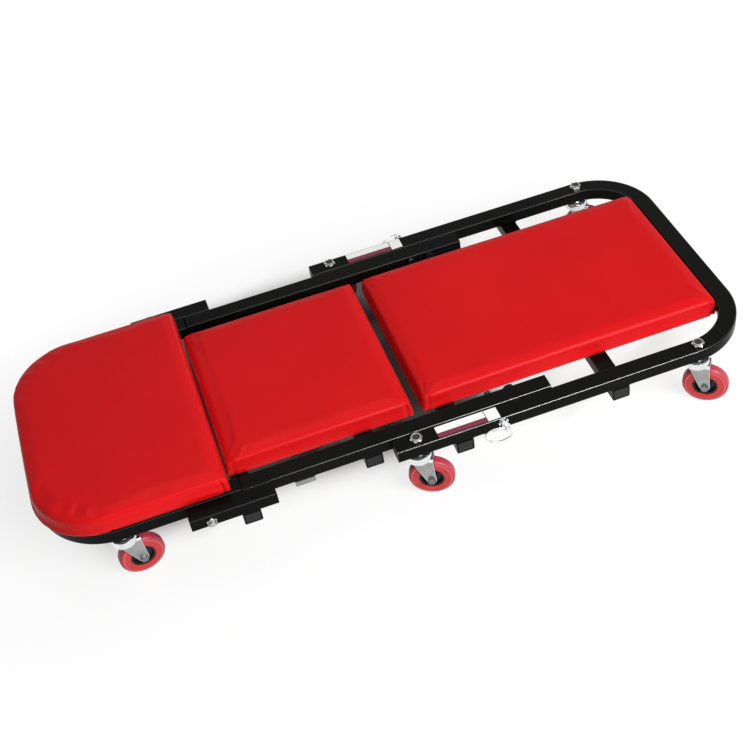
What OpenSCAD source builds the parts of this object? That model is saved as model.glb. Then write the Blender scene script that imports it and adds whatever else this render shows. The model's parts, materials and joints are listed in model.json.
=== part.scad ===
// Folding mechanic creeper that turns into a rolling seat. Three padded sections on steel tube
// frames are joined by two hinge lines and roll on six swivel casters. The origin is on the floor
// under the middle of the bed. X runs from the head to the foot, Y from the near side to the far
// side and Z is up. The bed lies flat here. Mirrored pairs keep the same values on both sides.

/* [Bed] */
// Width over the foot tube
bed_w = 420; // [416:1:440]
// Height of every tube's underside over the floor, which is the casters' mounting height
deck_h = 82; // [80:0.5:90]
// Free space between tubes that swing past each other on the fold hinge
rail_gap = 1.5; // [1:0.1:3]
// Free space between the head tube and the hinge arms
head_gap = 1; // [0.6:0.1:2]

/* [Tube] */
// Width of the frame tube
tube_w = 25; // [24:0.5:28]
// Height of the frame tube
tube_h = 20; // [18:0.5:24]
// Wall of the frame tube
tube_wall = 2; // [1.5:0.1:2.5]
// Outer corner radius of the tube's section
tube_edge_r = 2.5; // [2.2:0.1:4]
// Outer bend radius of the foot tube
foot_bend_r = 95; // [70:1:110]
// Outer bend radius of the head tube
head_bend_r = 100; // [80:1:110]
// Length of the plastic plugs in the open tube ends
plug_len = 12; // [6:0.5:14]
// Free space round a plug
plug_clear = 0.1; // [0.05:0.01:0.3]

/* [Sections] */
// Length of the foot tube
foot_tube_len = 532.5; // [520:0.5:545]
// Fold hinge, measured back from the foot end
fold_pivot_back = 353.5; // [345:0.5:362]
// Distance between the fold hinge and the head hinge
pivot_span = 434.5; // [428:0.5:441]
// Head tube ahead of the head hinge
head_reach = 214; // [208:0.5:222]
// Mid rail past the fold hinge
rail_tail = 51.5; // [46:0.5:54]
// Head tube past the head hinge
head_tail = 48.5; // [44:0.5:51]
// Hinge arm past the head hinge
arm_reach = 28; // [24:0.5:34]
// Length of a hinge arm
arm_len = 118; // [110:0.5:124]
// Running space between the ends of the head tube and the mid rails
tail_gap = 0.8; // [0.5:0.1:2]
// Angle that each hinge folds through to make the seat
seat_angle = 120; // [116:1:120]

/* [Cross bars] */
// Width of a cross bar
bar_w = 25; // [22:0.5:28]
// Height of a cross bar
bar_h = 20; // [16:0.5:20]
// Head side bar of the mid section, measured from the head side of the mid pad
mid_bar_head_offset = 14.5; // [12.5:0.5:18]
// Second bar of the mid section, measured from the fold hinge
mid_bar_foot_offset = 205.5; // [196:0.5:214]
// First bar of the foot section, measured from the foot end
foot_bar_near_offset = 439; // [436:0.5:444]
// Second bar of the foot section, measured from the foot end
foot_bar_far_offset = 211.5; // [204:0.5:220]
// How far the ends of the mid bars stay inside the tube faces
bar_end_inset = 0.5; // [0:0.1:3]

/* [Pads] */
// Start of the foot pad, measured back from the fold hinge
foot_pad_reach = 118.1; // [104:0.1:124]
// Width of the foot pad
foot_pad_w = 274; // [264:1:276]
// Space between the foot pad and the foot tube
foot_pad_gap = 1.6; // [1.4:0.1:4]
// Space between the foot pad and the mid pad
mid_pad_gap = 12.4; // [10:0.1:16]
// Start of the mid pad, measured from the head hinge
mid_pad_start = 37.5; // [36:0.5:42]
// Width of the mid pad
mid_pad_w = 274; // [264:1:284]
// How far the mid pad's side slopes out towards the head pad
mid_pad_slope = 13; // [8:0.5:16]
// Space between the mid pad and the head pad
head_pad_gap = 1.5; // [1:0.1:4]
// Width of the head pad
head_pad_w = 360; // [352:1:361]
// How far the head pad stands past the head tube
head_pad_lip = 5; // [3:0.5:6]
// Thickness of a pad at its crown, board and all
pad_t = 30; // [26:0.5:34]
// Rise of the crown over the pad's edge
pad_crown = 2.5; // [1:0.1:4]
// Radius of the pad's top edge
pad_edge_r = 8; // [6:0.5:10]
// Corner radius of the square pad corners
pad_corner_r = 8; // [6:0.5:12]
// Corner radius of the foot pad next to the bends of the foot tube
foot_pad_corner_r = 12; // [11:0.5:14]
// Corner radius at the head end of the head pad
head_pad_corner_r = 100; // [80:1:105]
// How far the head pad's end bows out
head_pad_bow = 4; // [0:0.5:5]
// How far the skirt of the cover is drawn in at the bottom
pad_tuck = 1.5; // [0.5:0.5:3]
// How far the sides pull in between the corners
pad_waist = 1; // [0:0.1:3]
// Thickness of the plywood boards
board_t = 9; // [8:0.5:12]
// How far a board's edge stays inside the pad's outline
board_inset = 9; // [8.5:0.1:12]
// Free space between a board and its cover
board_clear = 0.5; // [0.4:0.05:0.7]

/* [Casters] */
// Wheel diameter
wheel_d = 63.5; // [60:0.5:64]
// Width of the tyre
wheel_w = 16; // [14:0.5:20]
// Radius of the hub
hub_r = 17.5; // [15:0.5:20]
// Distance from the swivel axis to the axle, seen from above
caster_trail = 14; // [12:0.5:16]
// Stems at the foot end, measured from the foot end
caster_foot_offset = 91.5; // [86:0.5:96]
// Distance between the stems along the foot section
caster_base = 410; // [404:1:416]
// Stems at the head end, measured from the end of the head tube
caster_head_offset = 98.5; // [94:0.5:104]
// Radius of the threaded stem
stem_r = 5; // [4:0.25:5.5]
// Radius of the axle
axle_r = 3; // [2.5:0.25:4]
// Thickness of the fork's sheet steel
fork_t = 2.5; // [2:0.1:3]
// Width of a fork leg at the top
fork_top_w = 28; // [26:0.5:32]
// Radius of a fork leg's round tip
fork_tip_r = 7; // [6.5:0.25:8]
// Radius of the ball race cup
race_r = 17.5; // [17:0.25:20]
// Radius of a bearing ball
ball_r = 2; // [1.5:0.1:2.2]
// Swivel angle of the near caster at the foot end
foot_front_angle = -35; // [-180:1:180]
// Swivel angle of the far caster at the foot end
foot_back_angle = -20; // [-180:1:180]
// Swivel angle of the near caster in the middle
mid_front_angle = -22; // [-180:1:180]
// Swivel angle of the far caster in the middle
mid_back_angle = 35; // [-180:1:180]
// Swivel angle of the near caster at the head
head_front_angle = 9; // [-180:1:180]
// Swivel angle of the far caster at the head
head_back_angle = 20; // [-180:1:180]

/* [Hinges and lock pins] */
// Radius of the hinge bolts
pivot_r = 4; // [3:0.25:5]
// Running clearance of a bolt, pin, stem or axle in its bore
run_clear = 0.08; // [0.03:0.01:0.1]
// Lock pin, measured from the fold hinge
pin_offset = 30; // [27:0.5:34]
// Travel of a lock pin
pin_travel = 4; // [3:0.5:5]
// Height of the lock pins over the middle of the tube
pin_rise = 3; // [0:0.1:3]
// Radius of a lock pin's nose
pin_nose_r = 3.2; // [2.8:0.1:3.4]
// Mean radius of a pull ring
ring_r = 18; // [15:0.5:20]
// Wire radius of a pull ring
ring_wire_r = 1.1; // [0.8:0.05:1.2]
// Lean of a pull ring towards the head, seen from the side
ring_lean = 40; // [0:1:60]
// Tilt of a pull ring towards the tube
ring_tilt = 18; // [0:1:18]

/* [Labels] */
// Start of a label strip, measured from the caster stem in the middle
label_offset = 28.5; // [20:0.5:36]
// Length of a label strip
label_len = 69; // [60:1:76]
// Width of a label strip
label_w = 20; // [16:0.5:20]
// Length of the blank badge next to a label strip
badge_len = 17.5; // [12:0.5:18]

/* [Hidden] */

// Smoothness of round parts
$fn = 48;
// Overrun of every cut
cut = 1;

// Heights
tube_z = deck_h + tube_h / 2;
deck_top = deck_h + tube_h;
bar_z = deck_h - bar_h;

// Places along the bed, which is bed_len long from the head pad to the foot tube
bed_len = fold_pivot_back + pivot_span + head_reach + head_pad_lip;
foot_end_x = bed_len / 2;
foot_open_x = foot_end_x - foot_tube_len;
fold_x = foot_end_x - fold_pivot_back;
hinge_x = fold_x - pivot_span;
head_tube_x = hinge_x - head_reach;
head_end_x = head_tube_x - head_pad_lip;
head_open_x = hinge_x + head_tail;
rail_end_x = fold_x + rail_tail;
rail_start_x = hinge_x + sqrt(head_tail * head_tail + tube_h * tube_h / 4) + tail_gap;
arm_x = hinge_x - arm_reach;
mid_bar_foot_x = fold_x - mid_bar_foot_offset;
foot_bar_near_x = foot_end_x - foot_bar_near_offset;
foot_bar_far_x = foot_end_x - foot_bar_far_offset;
foot_pad_end_x = foot_end_x - tube_w - foot_pad_gap;
foot_pad_x = fold_x - foot_pad_reach;
mid_pad_end_x = foot_pad_x - mid_pad_gap;
mid_pad_x = hinge_x + mid_pad_start;
mid_bar_head_x = mid_pad_x + mid_bar_head_offset;
head_pad_end_x = mid_pad_x - head_pad_gap;
pin_x = fold_x - pin_offset;

// Places across the bed, as distances from its middle
foot_out = bed_w / 2;
foot_in = foot_out - tube_w;
rail_out = foot_in - rail_gap;
rail_in = rail_out - tube_w;
arm_out = rail_out + tube_w;
head_out = rail_out - head_gap;
head_in = head_out - tube_w;
foot_leg_y = foot_out - tube_w / 2;
rail_y = rail_out - tube_w / 2;
arm_y = arm_out - tube_w / 2;
head_leg_y = head_out - tube_w / 2;

// Hardware shared by the frame
screw_head_r = 6;
screw_head_h = 3;
screw_r = 2.5;
// Grip of a pad screw in its board
screw_bite = 7;
foot_screw_y = foot_pad_w / 4;
mid_screw_y = mid_pad_w / 4;
head_screw_y = head_leg_y - tube_w / 8;
// Head pad screws in the end of the head tube, measured from the middle
head_end_screw_y = 60;
// Head pad screws in the legs of the head tube, measured from the head hinge
head_leg_screw_xs = [hinge_x - pivot_r * 12, hinge_x + head_tail / 2];
hinge_head_r = 8;
hinge_head_h = 5;
hinge_nut_r = 7.5;
hinge_nut_h = 5.5;
// Bolt end that stands out of its nut
bolt_end = 1.5;
weld_nut_r = 7.5;
weld_nut_h = 6;
washer_r = 9;
washer_slack = 0.2;

// Zinc brackets under the mid rails, at a share of the way between the mid section's bars
bracket_share = 0.376;
bracket_x = mid_bar_head_x + (mid_bar_foot_x - mid_bar_head_x) * bracket_share;
bracket_len = 28;
bracket_t = 2.5;
bracket_drop = 8.5;
bracket_screw_gap = 8;
bracket_screw_r = 4;
bracket_screw_h = 5;

// Seat stops under the foot tube
stop_t = 5;
stop_drop = 22;
stop_plate_len = 26;
stop_grip = 20;
stop_clear = 0.5;
stop_lip_side = 1.5;
// Where the underside of the folded rail's tail crosses the lower edge of the stop
stop_edge_z = deck_h - stop_drop;
stop_reach = ((tube_z - stop_edge_z) - tube_h / 2 * cos(seat_angle)) / sin(seat_angle);
stop_x = fold_x + stop_reach * cos(seat_angle) - tube_h / 2 * sin(seat_angle) - stop_clear;

// Lock pins, with depths along the pin from the foot tube's outer face inwards
pin_z = tube_z + pin_rise;
housing_r = 4.8;
flange_r = 7;
flange_h = 1.5;
chamber_r = 4;
chamber_start = 2;
chamber_end = 20;
pin_rod_r = 2.2;
pin_collar_r = 3.9;
pin_collar_t = 2;
pin_tip_clear = 0.5;
pin_knob_r = 6.25;
pin_knob_h = 4;
pin_knob_gap = 0.3;
pin_boss_r = 3.4;
pin_boss_len = 7;
pin_eye_r = 1.8;
pin_eye_wall = 1.8;
pin_tip = foot_out - rail_out - pin_tip_clear;
pin_collar_end = chamber_end - pin_travel - run_clear;
pin_knob_start = -flange_h - pin_travel - pin_knob_gap;
pin_knob_end = pin_knob_start - pin_knob_h;
pin_boss_end = pin_knob_end - pin_boss_len;
pin_eye = pin_boss_end + pin_eye_wall + pin_eye_r / 2;
spring_wall = 1.2;
spring_gap = 0.2;
// How far the sleeve that a lock pin enters stands out of the rail's inner side
sleeve_stub = 6;

// Label strips on top of the foot tube
label_t = 0.3;
stripe_share = 0.42;
badge_gap = 1;

// Casters, heights over the floor
wheel_r = wheel_d / 2;
tyre_edge_r = 5;
hub_step = 1;
hub_w = wheel_w - 2 * hub_step;
hub_dish = 5;
hub_rim_t = 2.5;
hub_boss_r = 8;
hub_side_gap = 1;
hub_end_gap = 0.5;
fork_gap = wheel_w + hub_side_gap * 2 + run_clear;
fork_out = fork_gap / 2 + fork_t;
fork_crown_gap = 4.5;
fork_top_shift = 5;
fork_plate_z = wheel_d + fork_crown_gap;
fork_plate_t = 3;
race_floor_t = 2;
race_wall = 2.5;
race_h = 7;
race_floor_z = fork_plate_z + fork_plate_t + race_floor_t;
race_top_z = fork_plate_z + fork_plate_t + race_h;
ball_ring_r = 11;
ball_count = 12;
ball_gap = 0.1;
cap_z = race_floor_z + ball_r * 2 + ball_gap * 2;
cap_side_gap = 1;
cap_r = race_r - race_wall - cap_side_gap;
cap_h = 2.3;
neck_r = 9;
stem_peen_r = 6.5;
stem_peen_h = 1.3;
nut_r = 8.8;
nut_h = 6.5;
// How far a stem ends below the top of its nut
stem_short = 1;
axle_head_r = 5.5;
axle_head_h = 3.5;
caster_foot_x = foot_end_x - caster_foot_offset;
caster_mid_x = caster_foot_x - caster_base;
caster_head_x = head_tube_x + caster_head_offset;
foot_front = [caster_foot_x, -foot_leg_y, foot_front_angle];
foot_back = [caster_foot_x, foot_leg_y, foot_back_angle];
mid_front = [caster_mid_x, -foot_leg_y, mid_front_angle];
mid_back = [caster_mid_x, foot_leg_y, mid_back_angle];
head_front = [caster_head_x, -head_leg_y, head_front_angle];
head_back = [caster_head_x, head_leg_y, head_back_angle];
// Room for a caster nut under the head pad
nut_room_r = nut_r + 3 * board_clear;
nut_room_h = nut_h + board_clear;

// Steps round a tube's edge or a tyre's edge
edge_arc_steps = 5;
// Steps round a fork's tip
tip_arc_steps = 16;
// Points round an arc of a cushion's square corner, its round corner and along an edge
corner_steps = 4;
round_steps = 10;
edge_steps = 8;
// Side profile of a cushion, as shares of the height below the top edge's radius
skirt_shares = [[1, 0], [0.3, 0.3], [0, 0.62]];
// Steps of the rounded top edge
edge_r_steps = 4;
// Rings of the crown, as shares of the way to the middle
crown_shares = [0.12, 0.3, 0.55, 0.8];
min_corner_r = 1;

// Colours
frame_black = [0.03, 0.03, 0.035];
pad_red = [0.78, 0.07, 0.08];
zinc = [0.62, 0.64, 0.64];
chrome = [0.85, 0.86, 0.88];
tyre_red = [0.86, 0.2, 0.2];
hub_black = [0.05, 0.05, 0.055];
plywood = [0.62, 0.47, 0.3];
plug_black = [0.06, 0.06, 0.06];
label_white = [0.93, 0.93, 0.92];
label_maroon = [0.45, 0.08, 0.14];

// Rectangle with round corners, centred
module round_rect(w, h, r) {
    polygon([for (corner = [0 : 3]) for (i = [0 : edge_arc_steps])
        let (sx = corner == 0 || corner == 3 ? 1 : -1, sy = corner < 2 ? 1 : -1,
            a = 90 * (corner + i / edge_arc_steps))
        [sx * (w / 2 - r) + r * cos(a), sy * (h / 2 - r) + r * sin(a)]]);
}

// Solid section of a tube, or of its inside
module section(w, h, grow = 0) {
    round_rect(w + 2 * grow, h + 2 * grow, tube_edge_r + grow);
}

// Straight length along X with the tube's outer section, grown by a wall
module run_x(x0, x1, y, z, w, h, grow = 0) {
    translate([x0, y, z]) rotate([90, 0, 90]) linear_extrude(x1 - x0) section(w, h, grow);
}

// Straight length along Y
module run_y(y0, y1, x, z, w, h, grow = 0) {
    translate([x, y0, z]) rotate([90, 0, 180]) linear_extrude(y1 - y0) section(w, h, grow);
}

// U of tube with its open ends at open_x and its outside at end_x
module u_run(open_x, end_x, out, bend_r, grow = 0, overrun = 0) {
    dir = sign(end_x - open_x);
    leg = out - tube_w / 2;
    bend_x = end_x - dir * bend_r;
    for (s = [-1, 1]) {
        run_x(min(open_x - dir * overrun, bend_x), max(open_x - dir * overrun, bend_x), s * leg,
            tube_z, tube_w, tube_h, grow);
        translate([bend_x, s * (out - bend_r), tube_z])
            rotate([0, 0, dir > 0 ? (s > 0 ? 0 : -90) : (s > 0 ? 90 : 180)])
                rotate_extrude(angle = 90, $fn = 96)
                    translate([bend_r - tube_w / 2, 0]) section(tube_w, tube_h, grow);
    }
    run_y(-(out - bend_r), out - bend_r, end_x - dir * tube_w / 2, tube_z, tube_w, tube_h, grow);
}

// Round bar or hole along Y from y0 to y1
module rod_y(x, z, y0, y1, r) {
    translate([x, min(y0, y1), z]) rotate([-90, 0, 0]) cylinder(r = r, h = abs(y1 - y0));
}

// Hexagonal bar along Y
module hex_y(x, z, y0, y1, r) {
    translate([x, min(y0, y1), z]) rotate([-90, 0, 0]) cylinder(r = r, h = abs(y1 - y0), $fn = 6);
}

// Upright round bar or hole
module rod_z(x, y, z0, z1, r) {
    translate([x, y, z0]) cylinder(r = r, h = z1 - z0);
}

// Plug that fills the end of a tube along X, s is the side of the tube it lies on
module plug_x(x, s, y, z, w, h) {
    inner_w = w - 2 * (tube_wall + plug_clear);
    inner_h = h - 2 * (tube_wall + plug_clear);
    edge = tube_edge_r - tube_wall;
    translate([s > 0 ? x : x - plug_len, y, z]) rotate([90, 0, 90])
        linear_extrude(plug_len) round_rect(inner_w, inner_h, edge);
}

// Plug that fills the end of a cross bar
module plug_y(y, s, x, z, w, h) {
    inner_w = w - 2 * (tube_wall + plug_clear);
    inner_h = h - 2 * (tube_wall + plug_clear);
    edge = tube_edge_r - tube_wall;
    translate([x, s > 0 ? y - plug_len : y, z]) rotate([90, 0, 180])
        linear_extrude(plug_len) round_rect(inner_w, inner_h, edge);
}

// Cross bar under the frame, with holes for the pad screws
module cross_bar(x, out, screw_y) {
    color(frame_black) difference() {
        run_y(-out, out, x, bar_z + bar_h / 2, bar_w, bar_h);
        run_y(-out - cut, out + cut, x, bar_z + bar_h / 2, bar_w, bar_h, -tube_wall);
        for (s = [-1, 1])
            rod_z(x, s * screw_y, bar_z - cut, deck_h + cut, screw_r + run_clear);
    }
}

// Screw from below through a bar or tube into a board, its head on the underside at z
module pad_screw(x, y, z, board_z) {
    rod_z(x, y, z - screw_head_h, z, screw_head_r);
    rod_z(x, y, z - screw_head_h, board_z + screw_bite, screw_r);
}

// Outline of a cushion as points, drawn in by inset, with its edges pulled in by waist
function arc_points(cx, cy, r, a0, steps) =
    [for (i = [0 : steps]) [cx + r * cos(a0 + 90 * i / steps), cy + r * sin(a0 + 90 * i / steps)]];
function edge_points(p, q, out, rise) =
    [for (i = [1 : edge_steps - 1])
        let (t = i / edge_steps, lift = rise * 4 * t * (1 - t))
        [p[0] + (q[0] - p[0]) * t + out[0] * lift, p[1] + (q[1] - p[1]) * t + out[1] * lift]];
function outline(x0, x1, half, r0, r1, steps0, bow, inset, waist) =
    let (a = x0 + inset, b = x1 - inset, h = half - inset,
        ra = max(r0 - inset, min_corner_r), rb = max(r1 - inset, min_corner_r))
    concat(
        arc_points(b - rb, -h + rb, rb, -90, corner_steps),
        edge_points([b, -h + rb], [b, h - rb], [1, 0], -waist),
        arc_points(b - rb, h - rb, rb, 0, corner_steps),
        edge_points([b - rb, h], [a + ra, h], [0, 1], -waist),
        arc_points(a + ra, h - ra, ra, 90, steps0),
        edge_points([a, h - ra], [a, -h + ra], [-1, 0], bow > 0 ? bow : -waist),
        arc_points(a + ra, -h + ra, ra, 180, steps0),
        edge_points([a + ra, -h], [b - rb, -h], [0, -1], -waist));
function lift_loop(points, z) = [for (p = points) [p[0], p[1], z]];

// Cushion over its board: crowned top, round top edge, sides drawn in, a pocket for the board. Its
// head side can slope out by a length below the round edge.
module cushion(x0, x1, w, r0, r1, steps0, bow, z, slope = 0) {
    half = w / 2;
    middle = min(half, (x1 - x0) / 2);
    side_h = pad_t - pad_crown - pad_edge_r;
    pocket = board_inset - board_clear;
    function ring(inset, waist, height, edge_bow = bow, lead = 0) =
        lift_loop(outline(x0 + lead, x1, half, r0, r1, steps0, edge_bow, inset, waist), z + height);
    loops = concat(
        [ring(pocket, 0, board_t + board_clear, 0), ring(pocket, 0, 0, 0)],
        [for (s = skirt_shares) ring(pad_tuck * s[0], pad_waist * (1 - s[0]), side_h * s[1])],
        [for (i = [0 : edge_r_steps]) let (a = 90 * i / edge_r_steps)
            ring(pad_edge_r * (1 - cos(a)), pad_waist, side_h + pad_edge_r * sin(a), bow,
                slope * i / edge_r_steps)],
        [for (f = crown_shares)
            ring(pad_edge_r + (middle - pad_edge_r) * f, pad_waist * (1 - f),
                pad_t - pad_crown * (1 - f) * (1 - f), bow * (1 - f), slope * (1 - f))]);
    count = len(loops[0]);
    last = len(loops) - 1;
    mid = [(x0 + x1) / 2, 0];
    points = concat([for (loop = loops) each loop],
        [[mid[0], mid[1], z + board_t + board_clear], [mid[0], mid[1], z + pad_t]]);
    under = len(points) - 2;
    over = len(points) - 1;
    sides = [for (k = [0 : last - 1]) for (i = [0 : count - 1])
        let (j = (i + 1) % count, a = k * count, b = (k + 1) * count)
        each [[a + i, b + i, b + j], [a + i, b + j, a + j]]];
    fans = [for (i = [0 : count - 1])
        let (j = (i + 1) % count, b = last * count)
        each [[under, i, j], [over, b + j, b + i]]];
    polyhedron(points, concat(sides, fans));
}

// Plywood board inside a cushion
module board(x0, x1, w, r0, r1, z) {
    a = x0 + board_inset;
    b = x1 - board_inset;
    h = w / 2 - board_inset;
    ra = max(r0 - board_inset, min_corner_r);
    rb = max(r1 - board_inset, min_corner_r);
    translate([0, 0, z]) linear_extrude(board_t) {
        translate([a + ra, -h]) square([b - rb - a - ra, 2 * h]);
        translate([a, -h + ra]) square([ra, 2 * (h - ra)]);
        translate([b - rb, -h + rb]) square([rb, 2 * (h - rb)]);
        for (s = [-1, 1]) {
            translate([a + ra, s * (h - ra)]) circle(ra, $fn = 96);
            translate([b - rb, s * (h - rb)]) circle(rb);
        }
    }
}

// Foot section
module foot_tube() {
    color(frame_black) difference() {
        u_run(foot_open_x, foot_end_x, foot_out, foot_bend_r);
        u_run(foot_open_x, foot_end_x, foot_out, foot_bend_r, -tube_wall, cut);
        for (place = [foot_front, foot_back, mid_front, mid_back])
            rod_z(place[0], place[1], deck_h - cut, deck_top + cut, stem_r + run_clear);
        for (s = [-1, 1]) {
            rod_y(fold_x, tube_z, s * (foot_in - cut), s * (foot_in + tube_wall + cut),
                pivot_r + run_clear);
            rod_y(pin_x, pin_z, s * (foot_in - cut), s * (foot_out + cut), housing_r + run_clear);
        }
    }
}

module foot_cross_bar_near() {
    cross_bar(foot_bar_near_x, foot_out, foot_screw_y);
}

module foot_cross_bar_far() {
    cross_bar(foot_bar_far_x, foot_out, foot_screw_y);
}

module foot_end_plugs() {
    color(plug_black) for (s = [-1, 1]) {
        plug_x(foot_open_x, 1, s * foot_leg_y, tube_z, tube_w, tube_h);
        for (x = [foot_bar_near_x, foot_bar_far_x])
            plug_y(s * foot_out, s, x, bar_z + bar_h / 2, bar_w, bar_h);
    }
}

module foot_pad_board() {
    color(plywood) difference() {
        board(foot_pad_x, foot_pad_end_x, foot_pad_w, pad_corner_r, foot_pad_corner_r, deck_h);
        for (x = [foot_bar_near_x, foot_bar_far_x])
            for (s = [-1, 1])
                rod_z(x, s * foot_screw_y, deck_h - cut, deck_h + screw_bite, screw_r + run_clear);
    }
}

module foot_pad() {
    color(pad_red)
        cushion(foot_pad_x, foot_pad_end_x, foot_pad_w, pad_corner_r, foot_pad_corner_r,
            corner_steps, 0, deck_h);
}

module foot_pad_screws() {
    color(zinc) for (x = [foot_bar_near_x, foot_bar_far_x])
        for (s = [-1, 1]) pad_screw(x, s * foot_screw_y, bar_z, deck_h);
}

// Bent brackets that stop the folded mid rails at the seat angle
module seat_stop_brackets() {
    color(frame_black) for (s = [-1, 1]) {
        y_in = rail_in + stop_lip_side;
        y_out = foot_in + stop_grip;
        near = s > 0 ? y_in : -y_out;
        translate([stop_x - stop_plate_len, near, deck_h - stop_t])
            cube([stop_plate_len, y_out - y_in, stop_t]);
        translate([stop_x - stop_t, s > 0 ? y_in : -rail_out, stop_edge_z])
            cube([stop_t, rail_out - y_in, stop_drop - stop_t]);
    }
}

// Bolts of the fold hinge, put in from inside, with their washers and their weld nuts
module fold_hinge_bolts() {
    nut_end = foot_in + tube_wall + weld_nut_h;
    color(zinc) for (s = [-1, 1]) {
        rod_y(fold_x, tube_z, s * (rail_in - hinge_head_h), s * rail_in, hinge_head_r);
        rod_y(fold_x, tube_z, s * rail_in, s * (nut_end + bolt_end), pivot_r);
        difference() {
            union() {
                rod_y(fold_x, tube_z, s * (rail_out + washer_slack), s * (foot_in - washer_slack),
                    washer_r);
                hex_y(fold_x, tube_z, s * (foot_in + tube_wall), s * nut_end, weld_nut_r);
            }
            rod_y(fold_x, tube_z, s * rail_in, s * (nut_end + cut), pivot_r + run_clear);
        }
    }
}

// Point on a lock pin, at a depth from the foot tube's outer face inwards
function pin_y(s, depth) = s * (foot_out - depth);

module lock_pin_housings() {
    color(chrome) for (s = [-1, 1]) difference() {
        union() {
            rod_y(pin_x, pin_z, pin_y(s, 0), pin_y(s, -flange_h), flange_r);
            rod_y(pin_x, pin_z, pin_y(s, 0), pin_y(s, tube_w), housing_r);
        }
        rod_y(pin_x, pin_z, pin_y(s, chamber_start), pin_y(s, chamber_end), chamber_r);
        rod_y(pin_x, pin_z, pin_y(s, -flange_h - cut), pin_y(s, chamber_start + cut),
            pin_rod_r + run_clear);
        rod_y(pin_x, pin_z, pin_y(s, chamber_end - cut), pin_y(s, tube_w + cut),
            pin_nose_r + run_clear);
    }
}

// Springs round the lock pins, at the length that they have with the pins drawn
module lock_pin_springs() {
    color(zinc) for (s = [-1, 1]) difference() {
        rod_y(pin_x, pin_z, pin_y(s, chamber_start + spring_gap),
            pin_y(s, pin_collar_end - pin_collar_t - spring_gap), pin_rod_r + spring_gap + spring_wall);
        rod_y(pin_x, pin_z, pin_y(s, chamber_start), pin_y(s, chamber_end), pin_rod_r + spring_gap);
    }
}

// Lock pin: nose, collar for the spring, rod, knob and a boss with an eye for the ring
module lock_pin(s) {
    color(chrome) difference() {
        union() {
            rod_y(pin_x, pin_z, pin_y(s, pin_boss_end), pin_y(s, pin_knob_end), pin_boss_r);
            rod_y(pin_x, pin_z, pin_y(s, pin_knob_end), pin_y(s, pin_knob_start), pin_knob_r);
            rod_y(pin_x, pin_z, pin_y(s, pin_knob_start), pin_y(s, pin_collar_end), pin_rod_r);
            rod_y(pin_x, pin_z, pin_y(s, pin_collar_end - pin_collar_t), pin_y(s, pin_collar_end),
                pin_collar_r);
            rod_y(pin_x, pin_z, pin_y(s, pin_collar_end), pin_y(s, pin_tip), pin_nose_r);
        }
        translate([pin_x, pin_y(s, pin_eye), pin_z]) rotate([0, ring_lean + 90, 0])
            cylinder(r = pin_eye_r, h = 4 * pin_boss_r, center = true);
    }
}

// Ring through the eye of a lock pin, leaning on the tube
module pull_ring(s) {
    color(chrome) translate([pin_x, pin_y(s, pin_eye), pin_z])
        rotate([0, ring_lean, 0]) rotate([-s * ring_tilt, 0, 0])
            translate([0, 0, -ring_r]) rotate([90, 0, 0])
                rotate_extrude($fn = 64) translate([ring_r, 0]) circle(ring_wire_r, $fn = 16);
}

// Plain two tone strips and blank badges on the foot tube
module label_strips() {
    start = caster_mid_x + label_offset;
    stripe = label_w * stripe_share;
    for (s = [-1, 1]) {
        edge = s * foot_leg_y - label_w / 2;
        color(label_maroon) translate([start, edge, deck_top]) cube([label_len, stripe, label_t]);
        color(label_white) translate([start, edge + stripe, deck_top])
            cube([label_len, label_w - stripe, label_t]);
        color(label_white) translate([start + label_len + badge_gap, edge, deck_top])
            cube([badge_len, label_w, label_t]);
    }
}

// Mid section
module mid_rails() {
    color(frame_black) for (s = [-1, 1]) difference() {
        run_x(rail_start_x, rail_end_x, s * rail_y, tube_z, tube_w, tube_h);
        run_x(rail_start_x - cut, rail_end_x + cut, s * rail_y, tube_z, tube_w, tube_h, -tube_wall);
        rod_y(fold_x, tube_z, s * (rail_in - cut), s * (rail_out + cut), pivot_r + run_clear);
        rod_y(pin_x, pin_z, s * (rail_out - tube_wall - cut), s * (rail_out + cut),
            pin_nose_r + run_clear);
        rod_y(pin_x, pin_z, s * (rail_in - cut), s * (rail_in + tube_wall + cut),
            housing_r + run_clear);
    }
}

module hinge_arms() {
    color(frame_black) for (s = [-1, 1]) difference() {
        run_x(arm_x, arm_x + arm_len, s * arm_y, tube_z, tube_w, tube_h);
        run_x(arm_x - cut, arm_x + arm_len + cut, s * arm_y, tube_z, tube_w, tube_h, -tube_wall);
        rod_y(hinge_x, tube_z, s * (rail_out - cut), s * (arm_out + cut), pivot_r + run_clear);
    }
}

module mid_cross_bar_head() {
    cross_bar(mid_bar_head_x, arm_out - bar_end_inset, mid_screw_y);
}

module mid_cross_bar_foot() {
    cross_bar(mid_bar_foot_x, rail_out - bar_end_inset, mid_screw_y);
}

module mid_end_plugs() {
    color(plug_black) for (s = [-1, 1]) {
        plug_x(rail_start_x, 1, s * rail_y, tube_z, tube_w, tube_h);
        plug_x(rail_end_x, -1, s * rail_y, tube_z, tube_w, tube_h);
        plug_x(arm_x, 1, s * arm_y, tube_z, tube_w, tube_h);
        plug_x(arm_x + arm_len, -1, s * arm_y, tube_z, tube_w, tube_h);
        plug_y(s * (arm_out - bar_end_inset), s, mid_bar_head_x, bar_z + bar_h / 2, bar_w, bar_h);
        plug_y(s * (rail_out - bar_end_inset), s, mid_bar_foot_x, bar_z + bar_h / 2, bar_w, bar_h);
    }
}

module mid_pad_board() {
    color(plywood) difference() {
        board(mid_pad_x, mid_pad_end_x, mid_pad_w, pad_corner_r, pad_corner_r, deck_h);
        for (x = [mid_bar_head_x, mid_bar_foot_x])
            for (s = [-1, 1])
                rod_z(x, s * mid_screw_y, deck_h - cut, deck_h + screw_bite, screw_r + run_clear);
    }
}

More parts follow.
